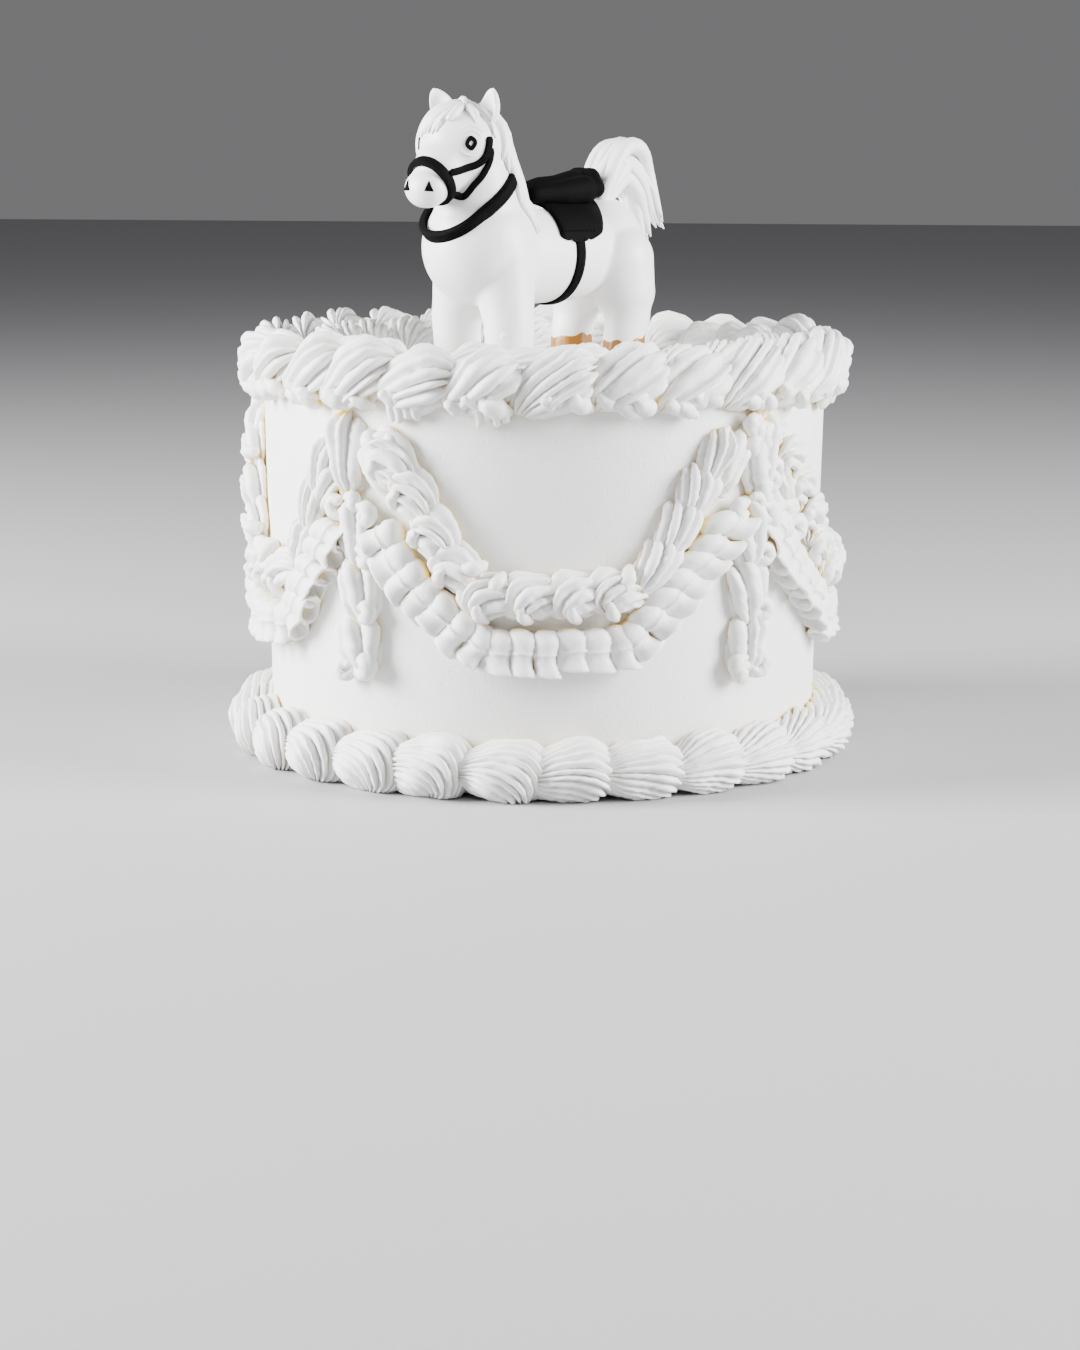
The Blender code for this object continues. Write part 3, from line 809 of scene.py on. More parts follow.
def bell(rng, azimuth, height, share, way):
    """One fold of the frill, its length running down across the curve."""
    lean = 0.06 + 0.42 * float(np.clip((share - 0.15) / 0.6, 0, 1)) + rng.uniform(-0.06, 0.06)
    tangent = along_curve(azimuth, way)
    out = outward(azimuth)
    down = -np.cross(out, tangent)
    turn = 2 * np.pi * np.arange(BELL_SIDES) / BELL_SIDES
    deep = BELL[None, :, 0] * np.ones((BELL_SIDES, 1)) * rng.uniform(0.85, 0.97)
    wide = BELL[None, :, 1] * rng.uniform(0.95, 1.08)
    low = deep / BELL_LONG
    wave = 1 + 0.13 * np.sin(2 * turn + rng.uniform(0, 6.28))[:, None] * (0.35 + low)
    right = wide * np.cos(turn)[:, None] * wave * 1.06
    proud = wide * np.sin(turn)[:, None] * wave * 0.86
    deep = deep + 0.45 * low**3 * np.cos(turn + rng.uniform(-0.5, 0.5))[:, None]
    proud = proud + (0.9 * low + 1.2 * lean) * np.cos(turn)[:, None]
    right = right + lean * (deep - 6.0) + 0.7 * np.sin(deep * 0.38 + rng.uniform(-0.8, 0.8))
    base = out * (wall(height) + 3.4) + UP * height - down * 10.4
    points = (
        base + right[..., None] * tangent + deep[..., None] * down
        + (proud + 0.8 * low)[..., None] * out
    )
    ends = [points[:, 0].mean(axis=0), points[:, -1].mean(axis=0)]
    return (np.concatenate([points.reshape(-1, 3), ends]), *tube_faces(BELL_SIDES, len(BELL)))


for number, (start, end) in enumerate(SPANS, 1):
    rng = np.random.default_rng(70 + number)
    parts = []
    for azimuth, height, share, way in hung(start, end, frill_height, FRILL_PITCH, FRILL_INSET):
        parts.append(bell(rng, azimuth, height + rng.uniform(-0.5, 0.5), share, way))
    gather(f"frill_bells_{number}", parts, f"frill_{number}")

# %% [markdown]
# ## The chains
# Over the joint of two swags stands a fan of long ridges, with two smaller ones beside it.
# Below hang three drops, each wide at its top and overlapping the next, and the last one
# ends in a lobe that curls.

# %% Chains
# The fans at the joint: top, low end, half width, ridges, place to the right, thickness, twist
# and lean. The drops below: length and half width. The curls: right, height, way round, size
# and thickness. On the cake's right, a fan's place, twist and lean are the other way round.
# At the front right the cream is messier, so that chain has extra curls.
FANS = (
    (132.0, 103.0, 10.6, 8, -4.0, 8.6, 0.0, -0.06),
    (128.0, 104.0, 9.6, 8, 12.0, 8.2, 0.3, -0.35),
    (116.0, 95.0, 8.2, 7, -13.5, 7.6, -0.3, 0.5),
)
DROPS = ((22.0, 9.8), (20.0, 10.2), (19.0, 10.6))
JOINT_CURLS = ((-6.0, 99.5, -1, 3.2, 2.8), (5.2, 98.0, 1, 3.2, 2.8), (-0.5, 102.0, 1, 2.4, 2.6))
FOOT_CURLS = ((3.2, 43.5, 1, 3.6, 3.1), (-3.4, 41.5, -1, 2.6, 2.8))
BUSY_CHAIN = 3
BUSY_CURLS = 16


def fan(rng, azimuth, top, low, half_width, ridges, right, proud, twist, lean):
    """An upright shell: a narrow tail below, and ridges that spread to blunt tips above."""
    height = (top + low) / 2
    middle = spot(azimuth, right, height, 1.2, float(wall(height)))
    axis = UP + rightward(azimuth) * lean
    size = np.array(((top - low) / 2, half_width, proud)) * rng.uniform(0.96, 1.05, 3)
    head = (0.8, twist + rng.uniform(-0.1, 0.1), -0.55)
    tail = (-0.97, -0.3 * twist, 0.1)
    out = outward(azimuth + math.degrees(right / TOP_R))
    return piped(
        rng, middle, axis, out, size, head, tail, ridges=ridges,
        depth=3.0, taper=0.3, fine=8, rows=26, flare=1.8, uneven=0.5,
    )


def curl(azimuth, right, height, hand, size, thick):
    """A lobe that curls round like the letter C."""
    radius = float(wall(height))
    path = []
    for k in range(6):
        angle = math.radians(110 - 52 * k)
        reach = size * (1 - 0.09 * k)
        aside, up = right + hand * reach * math.cos(angle), height + reach * math.sin(angle)
        path.append(spot(azimuth, aside, up, 5.6 - 0.25 * k, radius))
    radii = [thick * share for share in (0.6, 1.0, 1.1, 1.0, 0.85, 0.6)]
    return bead(path, radii, 12, 20)


def chain(number, azimuth):
    """The fans and curls at a joint of two swags, with the drops that hang below it."""
    rng = np.random.default_rng(90 + number)
    hand = 1 if azimuth < 0 or azimuth > 180 else -1
    parts = []
    for top, low, half_width, ridges, right, proud, twist, lean in FANS:
        parts.append(fan(
            rng, azimuth, top, low, half_width, ridges,
            right * hand, proud, twist * hand, lean * hand,
        ))
    parts += [curl(azimuth, *item) for item in JOINT_CURLS]
    low = 99.0
    for length, half_width in DROPS:
        twist = rng.uniform(-0.55, 0.55)
        right, lean = rng.uniform(-1, 1), rng.uniform(-0.12, 0.12)
        parts.append(fan(
            rng, azimuth, low + 3.5, low - length, half_width, 7, right, 7.8, twist, lean
        ))
        low -= length
        side = 1 if twist > 0 else -1
        parts.append(curl(azimuth, 4.6 * side, low + 6.0, side, 3.0, 2.7))
    parts += [curl(azimuth, *item) for item in FOOT_CURLS]
    for _ in range(BUSY_CURLS if number == BUSY_CHAIN else 0):
        right = rng.uniform(-4, 24)
        height = rng.uniform(100, 130) - 0.5 * max(0.0, right)
        way = 1 if rng.random() < 0.5 else -1
        size, thick = rng.uniform(2.4, 4.0), rng.uniform(2.3, 3.3)
        parts.append(curl(azimuth, right, height, way, size, thick))
    gather(f"chain_shells_{number}", parts, f"chain_{number}")


for number, azimuth in enumerate(CHAINS, 1):
    chain(number, azimuth)

# %% [markdown]
# ## Painted warm shade in the deep gaps
# Light that has gone through much cream comes out yellow, so the real cake looks warm only
# where cream crowds cream; here that shade is painted into the colour. Space is cut into
# small cells, those with cream are marked and blurred, and each point looks up how full the
# cells in front of it are.

# %% Painted shade by crowding
CELL = 1.6
MARGIN = 12
LOOK_AHEAD = (2.6, 4.4, 6.4)


def paint_gap_shade():
    """Stores at each point of the piping how crowded the cream in front of it is, the mask of the
    painted shade.
    """
    places, normals = {}, {}
    for name, piece in PIPING.items():
        flat = np.empty(len(piece.data.vertices) * 3)
        piece.data.vertices.foreach_get("co", flat)
        places[name] = flat.reshape(-1, 3) / MM
        piece.data.vertices.foreach_get("normal", flat)
        normals[name] = flat.reshape(-1, 3).copy()
    every = np.concatenate(list(places.values()))
    lowest = every.min(axis=0) - MARGIN
    shape = np.ceil((every.max(axis=0) + MARGIN - lowest) / CELL).astype(int)
    full = np.zeros(shape, np.float32)
    cells = ((every - lowest) / CELL).astype(int)
    full[cells[:, 0], cells[:, 1], cells[:, 2]] = 1.0
    grid = [lowest[i] + (np.arange(shape[i]) + 0.5) * CELL for i in range(3)]
    away = np.hypot(grid[0][:, None], grid[1][None, :])
    full[(away[:, :, None] < wall(grid[2])) & (grid[2] < BODY_H)] = 1.0
    for axis in range(3):
        full = (np.roll(full, 1, axis) + full + np.roll(full, -1, axis)) / 3
    for name, piece in PIPING.items():
        seen = np.zeros(len(places[name]))
        for far in LOOK_AHEAD:
            look = ((places[name] + normals[name] * far - lowest) / CELL).astype(int)
            look = np.clip(look, 0, shape - 1)
            seen += full[look[:, 0], look[:, 1], look[:, 2]] / 3
        value = piece.data.attributes.new("crease", "FLOAT", "POINT")
        value.data.foreach_set("value", seen.astype(np.float32))
        print(name, "crowding", np.percentile(seen, (50, 90, 98)).round(2))


paint_gap_shade()

# %% [markdown]
# ## The pony's body
# The pony is modelled in white sugar paste, as one chubby, smooth figure that stands across
# the cake and looks to the front left. Balls and tapered cones are set where the chest,
# rump, legs, neck and face lie. They are joined, turned into one skin, and smoothed, as a
# finger smooths the joins of the paste. Its places are given as forward, left and height.

# %% The pony's body
PONY_X, PONY_Y = -1.0, 12.0
PONY_YAW = math.radians(45.0)
HEAD_TURN = math.radians(5.0)
SKULL = (42.0, 0.0, 225.0)
SKIN_CELL, SEAT_CELL = 0.8, 0.55


def pony(forward, left, height):
    """A place counted from under the pony's middle, along the pony."""
    x = PONY_X - forward * math.cos(PONY_YAW) + left * math.sin(PONY_YAW)
    y = PONY_Y - forward * math.sin(PONY_YAW) - left * math.cos(PONY_YAW)
    return np.array((x, y, height))


def head(forward, left, up):
    """A place on the turned head, counted from the middle of the skull."""
    ahead = forward * math.cos(HEAD_TURN) - left * math.sin(HEAD_TURN)
    aside = forward * math.sin(HEAD_TURN) + left * math.cos(HEAD_TURN)
    return pony(SKULL[0] + ahead, SKULL[1] + aside, SKULL[2] + up)


def ball(place, size):
    """Adds one ball, its size given forward, left and up."""
    bpy.ops.mesh.primitive_uv_sphere_add(
        segments=32, ring_count=20, radius=1.0, location=place * MM,
        rotation=(0.0, 0.0, PONY_YAW + math.pi), scale=np.array(size) * MM,
    )
    return [bpy.context.object]


def limb(points, place=pony):
    """Adds balls of the given radii at the points, and a tapered cone between each two."""
    made = []
    ends = [(place(*point[:3]), point[3]) for point in points]
    for middle, radius in ends:
        made += ball(middle, (radius, radius, radius))
    for (a, radius_a), (b, radius_b) in zip(ends, ends[1:]):
        way = Vector(b - a)
        bpy.ops.mesh.primitive_cone_add(
            vertices=32, radius1=radius_a * MM, radius2=radius_b * MM, depth=way.length * MM,
            location=(a + b) / 2 * MM, rotation=way.to_track_quat("Z", "Y").to_euler(),
        )
        made.append(bpy.context.object)
    return made


def one_skin(pieces, cell, rounds):
    """Joins pieces into one closed skin and smooths it."""
    take(*pieces)
    bpy.ops.object.join()
    piece = bpy.context.object
    bpy.ops.object.transform_apply(location=True, rotation=True, scale=True)
    skin = piece.modifiers.new("skin", "REMESH")
    skin.mode = "VOXEL"
    skin.voxel_size = cell * MM
    bpy.ops.object.modifier_apply(modifier="skin")
    smooth = piece.modifiers.new("smooth", "SMOOTH")
    smooth.factor = 0.5
    smooth.iterations = rounds
    bpy.ops.object.modifier_apply(modifier="smooth")
    bpy.ops.object.shade_smooth()
    return piece


figure = ball(pony(32.0, -0.5, 188), (22.0, 22.0, 22.0))
figure += ball(pony(-30, 0, 187), (17.8, 17.8, 19.2))
figure += limb([(34, 0, 185, 17.5), (14, 0, 184.5, 18.6), (-12, 0, 185, 18.4), (-32, 0, 187, 15.5)])
figure += limb([(30, 0, 186, 19), (34.5, 0, 206, 16), (38.5, 0, 222, 13.4)])
figure += ball(head(0, 0, -0.3), (15.8, 15.6, 14.8))
figure += limb([(0, 0, -1, 13.2), (12.0, 0, -8.6, 10.0), (15.8, 0, -13.0, 7.9)], head)
figure += ball(head(19.0, -0.5, -15.2), (7.3, 8.7, 7.2))
for left in (-1, 1):
    figure += limb([
        (31, 8.7 * left, 184, 13.2), (31, 11.5 * left, 172, 11.2),
        (31.5, 14 * left, 162, 9.5), (31, 14 * left, 151, 8.9), (31, 14 * left, 147, 8.4),
    ])
    figure += limb([
        (-31, 10.1 * left, 182, 13.8), (-32.5, 12 * left, 170, 12.0),
        (-32.5, 14 * left, 160.5, 8.8), (-30.5, 14 * left, 154, 8.0), (-30.5, 14 * left, 147, 7.4),
    ])
body = one_skin(figure, SKIN_CELL, 14)
settle(body, "pony_skin", SUGAR_PASTE, "pony_body")
SKIN = BVHTree.FromObject(body, bpy.context.evaluated_depsgraph_get())


def on_skin(place, proud=0.0):
    """The nearest place on the pony's skin, and the way out of it, in millimetres."""
    found, normal, _, _ = SKIN.find_nearest(Vector(place) * MM)
    normal = np.array(normal)
    return np.array(found) / MM + normal * proud, normal


def skin_axes(place, proud=0.0):
    """The nearest place on the skin, and the ways out of it, across it and up it."""
    found, normal = on_skin(place, proud)
    across = unit(np.cross(UP, normal))
    return found, normal, across, np.cross(normal, across)


def skin_from(middle, way):
    """Where a line from inside the pony meets its skin, in millimetres."""
    found, _, _, _ = SKIN.ray_cast(Vector(middle) * MM, Vector(way))
    return np.array(found) / MM


# %% [markdown]
# ## Ears
# Each ear is a leaf of paste, pinched at the foot and pressed hollow in front. No primitive
# is such a leaf, so it is built of rings that widen and then narrow to a blunt tip, with the
# front of each ring pushed in.

# %% Ears


def tube(rings, closed=False):
    """Points and faces of a row of rings, capped at both ends or closed into a loop."""
    index = np.arange(rings.shape[0] * rings.shape[1]).reshape(rings.shape[:2])
    beside, after = np.roll(index, -1, axis=1), np.roll(index, -1, axis=0)
    quads = np.stack([index, beside, np.roll(after, -1, axis=1), after], axis=-1)
    if closed:
        return rings.reshape(-1, 3), quads.reshape(-1, 4)
    return rings.reshape(-1, 3), quads[:-1].reshape(-1, 4), index[[0, -1]]


def ear(side):
    foot = head(-1.5, 8.4 * side, 8.0)
    tip = head(-0.5, 14.8 * side, 20.6)
    up = unit(tip - foot)
    across = unit(head(0.25 * side, 1.0, 0) - head(0, 0, 0))
    across = unit(across - up * (across @ up))
    front = np.cross(across, up)
    front = front if front @ (head(1, 0, 0) - head(0, 0, 0)) > 0 else -front
    turn = np.linspace(0, 2 * np.pi, 28, endpoint=False)
    ahead = np.sin(turn)
    rings = []
    for share in np.linspace(0.0, 1.0, 16):
        foot_pinch = 0.72 + 0.28 * math.sin(min(1.0, share * 2.4) * 1.57)
        wide = max(5.5 * (1 - share**2.2) ** 0.6 * foot_pinch, 0.25)
        lip = np.where(ahead > 0, 0.5 * np.sqrt(np.abs(ahead)), -0.62 * np.abs(ahead))
        hollow = math.sin(math.pi * min(1.0, share + 0.1))
        cup = np.where(ahead > 0, 0.75 * ahead**2, 0.0) * hollow
        middle = foot + (tip - foot) * share - front * 1.2 * math.sin(math.pi * share)
        rings.append(
            middle + np.cos(turn)[:, None] * wide * across + ((lip - cup) * wide)[:, None] * front
        )
    return tube(np.array(rings))


def press_on(shapes):
    """Joins small shapes of paste to the pony's body."""
    take(body, *[new_piece("added", *one_mesh([shape]), angle=60) for shape in shapes])
    bpy.ops.object.join()
    print(len(shapes), "joined,", len(body.data.polygons), "faces")


press_on([ear(side) for side in (-1, 1)])

# %% [markdown]
# ## Mane, forelock and tail
# The hair is rolled in thin tapering strands, laid side by side on the head and neck, and
# pressed on. The tail is three flat sheaves that rise from the rump and fall in ragged
# tips, with a few loose strands on its near side.

# %% Mane, forelock and tail


def strand(path, radii, proud=None, count=16):
    """A tapering roll of paste, laid on the skin where a height over it is given."""
    places = smooth_path(path, count)
    if proud is not None:
        places = np.array([on_skin(place, proud)[0] for place in places])
    return bead(places, radii, 9, count)


def hair_piece(name, strands, node):
    """One piece of all its strands."""
    piece = new_piece(name, *one_mesh(strands), angle=60)
    settle(piece, name, SUGAR_PASTE, node)


MANE_TOP, MANE_FOOT = np.array((38.5, 5.0, 238.0)), np.array((29.5, 3.5, 226.0))
MANE_ENDS = (
    (21.3, 16.3, 193.0), (20.0, 15.0, 197.5), (13.0, 8.5, 203.0), (16.5, 11.5, 200.5),
    (24.0, 15.5, 201.5), (26.5, 15.5, 206.0), (29.0, 14.8, 211.0), (31.5, 14.6, 216.0),
    (34.0, 14.8, 221.0), (18.0, 6.0, 207.0), (9.0, 9.0, 203.5),
)
rng = np.random.default_rng(7)
strands = []
for number, end in enumerate(MANE_ENDS):
    for side in (0, 1):
        share = (number * 0.61 + 0.3 * side) % 1.0
        start = MANE_TOP * (1 - share) + MANE_FOOT * share
        tip = np.array(end) + rng.normal(0, 0.7, 3)
        bow = (start * 0.45 + tip * 0.55) + np.array((-1.0, 2.5 - 4 * share * side, 0.0))
        path = [pony(*start), pony(*bow), pony(*tip)]
        strands.append(strand(path, (1.5, 2.1, 1.9, 1.4, 0.35), 0.4 + rng.uniform(0, 1.0)))
hair_piece("mane", strands, "pony_mane")

KNOT = (0.5, 0.5, 13.8)
LOCKS = (
    ((5.0, -6.0, 14.5), (9.0, -11.0, 10.5), (10.5, -14.0, 3.0)),
    ((6.0, -4.0, 14.5), (11.0, -9.0, 11.0), (13.0, -12.0, 5.0)),
    ((7.0, -2.0, 14.3), (12.5, -6.0, 10.0), (14.5, -9.0, 4.0)),
    ((8.0, 0.0, 14.0), (13.0, -3.0, 9.5), (15.0, -5.5, 5.0)),
    ((8.0, 2.0, 13.5), (12.5, 1.0, 9.8), (14.5, 0.0, 5.0)),
    ((8.0, 1.0, 13.6), (12.8, -1.5, 9.8), (14.8, -3.5, 4.0)),
    ((7.0, 4.0, 13.0), (10.5, 4.0, 10.5), (12.0, 3.0, 8.8)),
    ((6.0, -8.0, 12.5), (8.0, -13.5, 6.0), (11.0, -15.0, -8.0)),
    ((3.0, 6.0, 13.5), (4.5, 10.0, 11.0), (5.0, 12.0, 8.0)),
    ((0.0, 7.0, 13.5), (-0.5, 12.0, 9.0), (-1.0, 14.5, 3.0)),
    ((5.0, -9.0, 11.5), (5.0, -13.5, 6.0), (4.0, -15.0, 0.0)),
)
strands = []
for lock in LOCKS:
    for side in (-0.6, 0.6):
        drift = rng.normal(0, 0.6, (3, 3))
        path = [head(*(np.array(KNOT) + (0, side, 0)))]
        path += [head(*(np.array(place) + move + (0, side, 0))) for place, move in zip(lock, drift)]
        strands.append(strand(path, (1.5, 1.8, 1.6, 1.1, 0.3), 0.2 + rng.uniform(0, 0.8)))
for _ in range(7):
    place = np.array(KNOT) + rng.uniform((-2, -4.5, 0.2), (3.0, 4.0, 2.4))
    turn = rng.uniform(0, 3.14)
    reach = np.array((math.cos(turn) * 1.6, math.sin(turn) * 2.4, 0.6))
    path = [head(*(place + move)) for move in (-reach, (0, 0, 0.9), reach)]
    strands.append(bead(path, (0.9, 1.5, 0.9), 9, 9))
hair_piece("forelock", strands, "pony_forelock")

# Each sheaf of the tail: its line as forward and height, its half width, the thickness of its
# strands and their number.
TAIL = (
    ((
        (-27.0, 202.0), (-31.0, 213.0), (-37.0, 222.0), (-44.0, 225.2), (-51.0, 223.0),
        (-55.5, 215.0), (-58.5, 205.0), (-62.0, 198.0), (-65.5, 193.0),
    ), 5.4, 3.0, 8),
    ((
        (-27.0, 201.0), (-32.0, 209.0), (-37.5, 215.5), (-42.5, 217.2), (-46.5, 213.0),
        (-48.5, 205.0), (-51.5, 194.0), (-55.5, 178.0),
    ), 4.8, 3.3, 8),
    ((
        (-28.0, 202.0), (-34.0, 208.5), (-41.0, 212.0), (-48.0, 207.0), (-54.0, 198.0),
        (-59.0, 189.0),
    ), 4.0, 3.2, 6),
)
TAIL_TAPER = (1.0, 1.0, 1.0, 0.95, 0.8, 0.55)
TAIL_TIP = 0.3
strands = []
for line, half, thick, count in TAIL:
    for number in range(count):
        aside = (number / (count - 1) * 2 - 1) * half
        short = rng.uniform(0, 1.2)
        path = []
        for row, (forward, height) in enumerate(line):
            pinch = 0.45 + 0.55 * math.sin(math.pi * min(1.0, (row + 0.6) / 5))
            spread = aside * pinch + rng.normal(0, 0.35)
            path.append(pony(forward + rng.normal(0, 0.35), spread, height + rng.normal(0, 0.35)))
        path[-1] = path[-1] + (path[-2] - path[-1]) * short * 0.5
        radii = [*(thick * share for share in TAIL_TAPER), TAIL_TIP]
        strands.append(strand(path, radii, None, 30))
for number in range(5):
    start = (-30.0 - number, 3.5 - 1.2 * number, 212.0)
    bend = (-37.0 - number, 5.4 - 1.5 * number, 219.0 + 0.4 * number)
    fall = (-48.0 - number, 5.6 - 1.0 * number, 212.0 + number)
    tip = (-56.0 - 1.5 * number, 4.0, 199.0 + rng.uniform(-5, 5))
    path = [pony(*place) for place in (start, bend, fall, tip)]
    strands.append(strand(path, (1.4, 1.9, 1.7, 0.35), None, 22))
hair_piece("tail", strands, "pony_tail")

# %% [markdown]
# ## Marks in the paste
# The brow was modelled with a tool that left faint round creases above each eye, and a
# dab of paste was smoothed onto one foreleg. They lie almost flush with the skin.

# %% Marks in the paste
EYE_AHEAD, EYE_ASIDE, EYE_UP = 9.1, 12.5, 1.1
# Each crease round the eye: its reach, and its first and last angle.
BROWS = ((4.6, 10, 150), (6.6, 25, 130), (4.2, 200, 300))


def brow(side, reach, first, last):
    """A low crease that bends round the eye."""
    centre, _, across, up = skin_axes(head(EYE_AHEAD, EYE_ASIDE * side, EYE_UP))
    path = []
    for turn in np.radians(np.linspace(first, last, 9)):
        place = centre + across * side * math.cos(turn) * reach + up * math.sin(turn) * reach * 1.1
        path.append(on_skin(place, -0.28)[0])
    return bead(path, (0.2, 0.6, 0.65, 0.6, 0.2), 9, 20)


marks = [brow(side, *crease) for side in (-1, 1) for crease in BROWS]
dab, _ = on_skin(pony(38.7, 19.0, 156.5), -1.55)
marks.append(bead([dab - UP * 0.3, dab, dab + UP * 0.3], (2.0, 2.1, 2.0), 20, 5))
press_on(marks)

# %% [markdown]
# ## The black tack
# Straps are cut from a thin sheet of black paste and laid on the pony. A curve's own bevel
# would twist away from the skin, so the middle line is laid on the skin first, and a flat
# section with soft edges is carried along it. A loop that goes right round is found by
# looking out from the middle.

# %% The black tack
# A strap's section: how far across, in half widths, and how far out, in thicknesses.
SECTION = (
    (-1, -0.5), (-1, 0.4), (-0.86, 0.85), (-0.5, 1.0),
    (0.5, 1.0), (0.86, 0.85), (1, 0.4), (1, -0.5),
)


def ribbon(path, normals, width, thick, closed):
    """A flat strap along a path, standing out along the normals."""
    if closed:
        way = np.roll(path, -1, axis=0) - np.roll(path, 1, axis=0)
    else:
        way = np.gradient(path, axis=0)
    way /= np.linalg.norm(way, axis=1, keepdims=True)
    out = normals - way * (normals * way).sum(1)[:, None]
    out /= np.linalg.norm(out, axis=1, keepdims=True)
    across = np.cross(way, out)
    share = np.linspace(0, 1, len(path))
    half = np.full(len(path), width / 2)
    if not closed:
        half = half * np.minimum(1, 0.35 + np.minimum(share, 1 - share) * 14) ** 0.5
    rings = np.array([
        path + across * (half * a)[:, None] + out * (thick * b) for a, b in SECTION
    ])
    return tube(rings.transpose(1, 0, 2), closed)


def eased(values, rounds, closed):
    """Evens out a row of values, as a strap does not follow every dent."""
    for _ in range(rounds):
        if closed:
            values = (np.roll(values, 1, axis=0) + 2 * values + np.roll(values, -1, axis=0)) / 4
        else:
            values[1:-1] = (values[:-2] + 2 * values[1:-1] + values[2:]) / 4
    return values


def laid(points, width, thick, proud):
    """A strap laid on the skin of the head through a few places."""
    found = [on_skin(place, proud) for place in smooth_path([head(*point) for point in points], 40)]
    path, normals = (np.array(rows) for rows in zip(*found))
    return ribbon(eased(path, 3, False), eased(normals, 4, False), width, thick, False)


def looped(centre, normal, width, thick, proud, count, loose=None):
    """A strap right round the skin, in the plane through a place, hanging off it where loose."""
    normal = unit(normal)
    first = unit(np.cross(normal, (0.1, 0.2, 1.0)))
    second = np.cross(normal, first)
    path = []
    for turn in np.linspace(0, 2 * np.pi, count, endpoint=False):
        way = first * math.cos(turn) + second * math.sin(turn)
        place = skin_from(centre, way) + way * proud
        if loose is not None:
            place = place + way * loose[1] * max(0.0, way @ loose[0]) ** 3
        path.append(place)
    path = eased(np.array(path), 4, True)
    normals = path - centre
    normals = normals - (normals @ normal)[:, None] * normal
    normals /= np.linalg.norm(normals, axis=1, keepdims=True)
    return ribbon(path, normals, width, thick, True)


def tack(name, *shapes, angle=50):
    piece = new_piece(name, *one_mesh(shapes), angle=angle)
    settle(piece, name, BLACK_PASTE, name)


def way_of(forward, left, up, place=pony):
    return unit(place(forward, left, up) - place(0, 0, 0))


UPPER_CHEEK = (
    (16.9, 9.2, -9.6), (11.8, 10.4, -8.5), (6.7, 12.2, -6.7), (4.1, 14.3, -4.2),
    (2.9, 15.2, -0.6), (2.1, 15.0, 3.3),
)
LOWER_CHEEK = (
    (14.0, 6.0, -18.0), (10.5, 6.0, -18.6), (7.1, 7.8, -17.9), (5.3, 10.1, -14.3),
    (2.9, 12.3, -10.7), (1.6, 14.1, -6.0), (1.7, 15.3, -0.6),
)
for name, side in (("bridle_left", 1), ("bridle_right", -1)):
    upper, lower = (
        [(forward, left * side, up) for forward, left, up in strap]
        for strap in (UPPER_CHEEK, LOWER_CHEEK)
    )
    tack(name, laid(upper, 2.7, 1.2, 0.15), laid(lower, 2.5, 1.2, 0.1))
noseband_way, collar_way = way_of(0.82, 0, -0.57, head), way_of(0.66, 0, 0.75)
collar_slack = (way_of(0.7, -0.7, 0), 1.4)
tack("noseband", looped(head(16.0, 0, -13.2), noseband_way, 3.8, 1.5, 0.15, 72))
tack("breast_collar", looped(pony(35.0, 0, 208.5), collar_way, 4.9, 1.7, 0.3, 84, collar_slack))
tack("girth", looped(pony(-2.0, 0, 186), way_of(1, 0, 0.02), 4.6, 1.1, 0.1, 84))

# %% [markdown]
# ## Saddle cloth and seat
# The cloth is a thin sheet of black paste over the back, its flaps reaching down both sides
# with rounded corners and a slightly torn hem. A flat sheet would have to be fitted to the
# back, so each of its points is found on the skin instead. The seat is a lump with a raised
# back edge, made of balls and cones like the pony.

# %% Saddle cloth and seat
MIDDLE_UP = 186
FLAP_TURN = math.radians(77)


def stitch(forward, turn):
    way = way_of(0, math.sin(turn), math.cos(turn))
    place = skin_from(pony(forward, 0, MIDDLE_UP), way) + way * 1.75
    return bead([place - UP * 0.35, place, place + UP * 0.35], (0.22, 0.3, 0.22), 6, 4)


def cloth():
    across, along = 57, 26
    tops, lows = [], []
    rng = np.random.default_rng(21)
    hem_noise = eased(rng.normal(0, 0.05, along), 3, False)
    for share in np.arange(across) / (across - 1) * 2 - 1:
        side = abs(share)
        front = 5.5 + 2.2 * side - 4.0 * max(0.0, (side - 0.9) / 0.1) ** 2.5
        back = -23.0 + 10.0 * side**1.8 + 3.0 * max(0.0, (side - 0.88) / 0.12) ** 2
        for column in range(along):
            part = column / (along - 1)
            forward = back + (front - back) * part
            hem = hem_noise[column] * side**6 - 0.05 * (2 * part - 1) ** 4 * side**4
            turn = share * FLAP_TURN * (1 + hem)
            way = way_of(0, math.sin(turn), math.cos(turn))
            skin = skin_from(pony(forward, 0, MIDDLE_UP), way)
            edge = max(side**10, abs(2 * part - 1) ** 10)
            tops.append(skin + way * (1.9 - 0.7 * edge))
            lows.append(skin - way * 0.1)
    index = np.arange(across * along).reshape(across, along)
    top = np.stack([index[:-1, :-1], index[:-1, 1:], index[1:, 1:], index[1:, :-1]], axis=-1)
    top = top.reshape(-1, 4)
    hem = np.concatenate([index[0], index[1:, -1], index[-1, -2::-1], index[-2:0:-1, 0]])
    after = np.roll(hem, -1)
    rim = np.stack([hem, after, after + index.size, hem + index.size], axis=-1)
    shapes = [(np.array(tops + lows), top, top[:, ::-1] + index.size, rim)]
    for side in (-1, 1):
        for share in np.linspace(0.45, 0.9, 11):
            shapes.append(stitch(5.2 + 2.0 * share, side * share * FLAP_TURN))
        for forward in np.linspace(-9.5, 5.5, 11):
            shapes.append(stitch(forward, side * 0.87 * FLAP_TURN))
    return shapes


tack("saddle_cloth", *cloth(), angle=45)

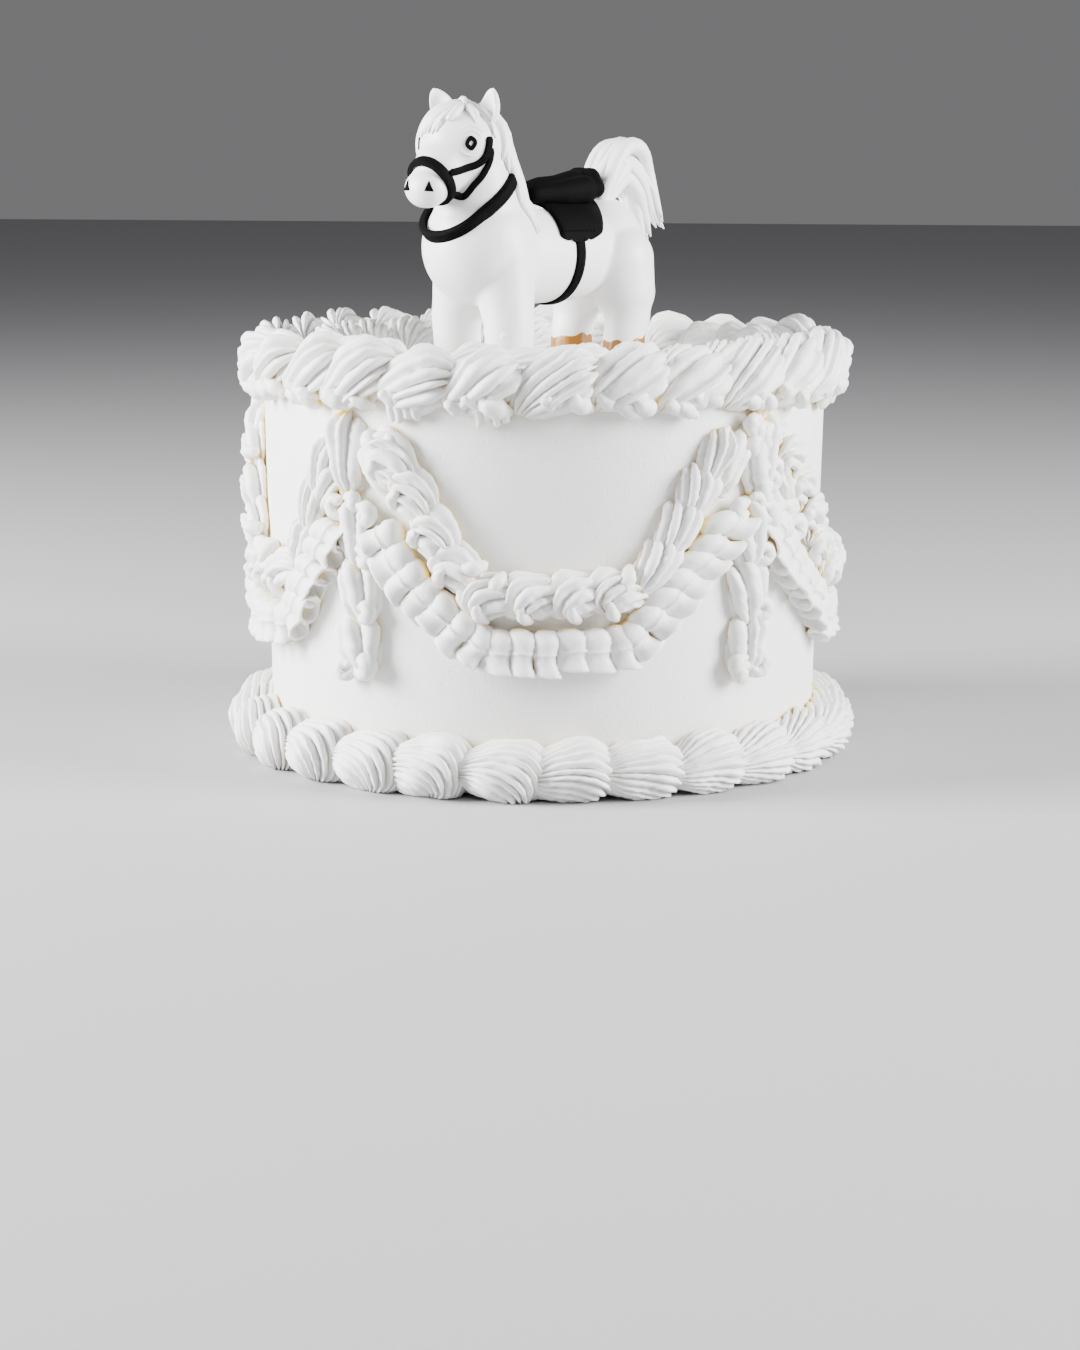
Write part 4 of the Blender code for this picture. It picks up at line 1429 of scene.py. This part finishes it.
seat = limb([
    (16, 0, 207, 2.4), (10, 0, 208, 3.6), (2, 0, 208.5, 5), (-7, 0, 208.5, 5.6), (-16, 0, 210, 6)
])
for side in (-1, 1):
    seat += limb([
        (8, 4 * side, 207, 3.4), (-4, 6 * side, 207.5, 4.6), (-15, 6.5 * side, 208.5, 5.6)
    ])
seat += limb([
    (-19.5, -9, 209, 3.6), (-22, -4, 213.5, 3.4), (-22, 4, 213.5, 3.4), (-19.5, 9, 209, 3.6)
])
seat_piece = one_skin(seat, SEAT_CELL, 26)
settle(seat_piece, "saddle_seat", BLACK_PASTE, "saddle_seat")

# %% [markdown]
# ## Eyes, nostrils and hooves
# The eye is an oval ring of black paste, and the white skin left open inside it is a painted
# highlight on the eye. The nostril is a small black wedge. The hooves are brushed golden
# brown, and the brush leaves a ragged upper edge.

# %% Eyes, nostrils and hooves


def eye(side):
    """The ring of an eye round its painted highlight of bare white skin, and the nostril of the
    same side.
    """
    place, normal, across, up = skin_axes(head(EYE_AHEAD, EYE_ASIDE * side, EYE_UP))
    turn = np.linspace(0, 2 * np.pi, 25, endpoint=False)
    aside, above = np.cos(turn)[:, None] * 1.3 * across, np.sin(turn)[:, None] * 1.95 * up
    path = place + aside + above + normal * 0.05
    path = path + (0.25 * np.sin(3 * turn + 1))[:, None] * across
    normals = np.repeat(normal[None], len(turn), axis=0)
    # The white skin left inside this black ring is the painted highlight of the eye.
    ring = ribbon(path, normals, 1.55, 0.5, True)
    place, normal, across, up = skin_axes(head(25.4, 5.0 * side + 1.3, -14.2), -0.1)
    corners = [(-1.0, -1.0), (1.2, -1.1), (0.55, 0.3), (0.1, 1.3), (-0.5, 0.2)]
    rings = np.array([
        [place + across * a * size * side + up * b * size + normal * proud for a, b in corners]
        for size, proud in ((1.65, -0.9), (1.65, 0.2), (1.3, 0.5))
    ])
    return ring, tube(rings)


for name, side in (("eye_left", 1), ("eye_right", -1)):
    tack(name, *eye(side))

HOOF_LOW = 141.9
# Up the hoof: the share of its height, and how far it stands out from the leg.
HOOF = ((0, 0.2), (0.06, 0.45), (0.3, 0.5), (0.6, 0.4), (0.9, 0.25), (1.0, 0.05), (1.0, -1.0))


def hoof(forward, left, radius, tall, seed):
    rng = np.random.default_rng(seed)
    turns = np.linspace(0, 2 * np.pi, 48, endpoint=False)
    ragged = eased(rng.normal(0, 1.2, 48), 2, True) + 1.2 * np.sin(turns + 0.5 * seed)
    middle = pony(forward, left, 0)
    rings = []
    for share, grow in HOOF:
        height = HOOF_LOW + share * (tall + ragged)
        reach = radius + grow + 0.12 * np.sin(turns * 9 + seed)
        x, y = middle[0] + np.cos(turns) * reach, middle[1] + np.sin(turns) * reach
        rings.append(np.stack([x, y, height], axis=1))
    return tube(np.array(rings))


for name, *shape in (
    ("hoof_front_left", 31, 14, 8.8, 7.0, 1), ("hoof_front_right", 31, -14, 8.8, 7.0, 2),
    ("hoof_hind_left", -30.5, 14, 7.8, 10.2, 3), ("hoof_hind_right", -30.5, -14, 7.8, 10.2, 5),
):
    piece = new_piece(name, *one_mesh([hoof(*shape)]), angle=60)
    settle(piece, name, HOOF_BROWN, name)
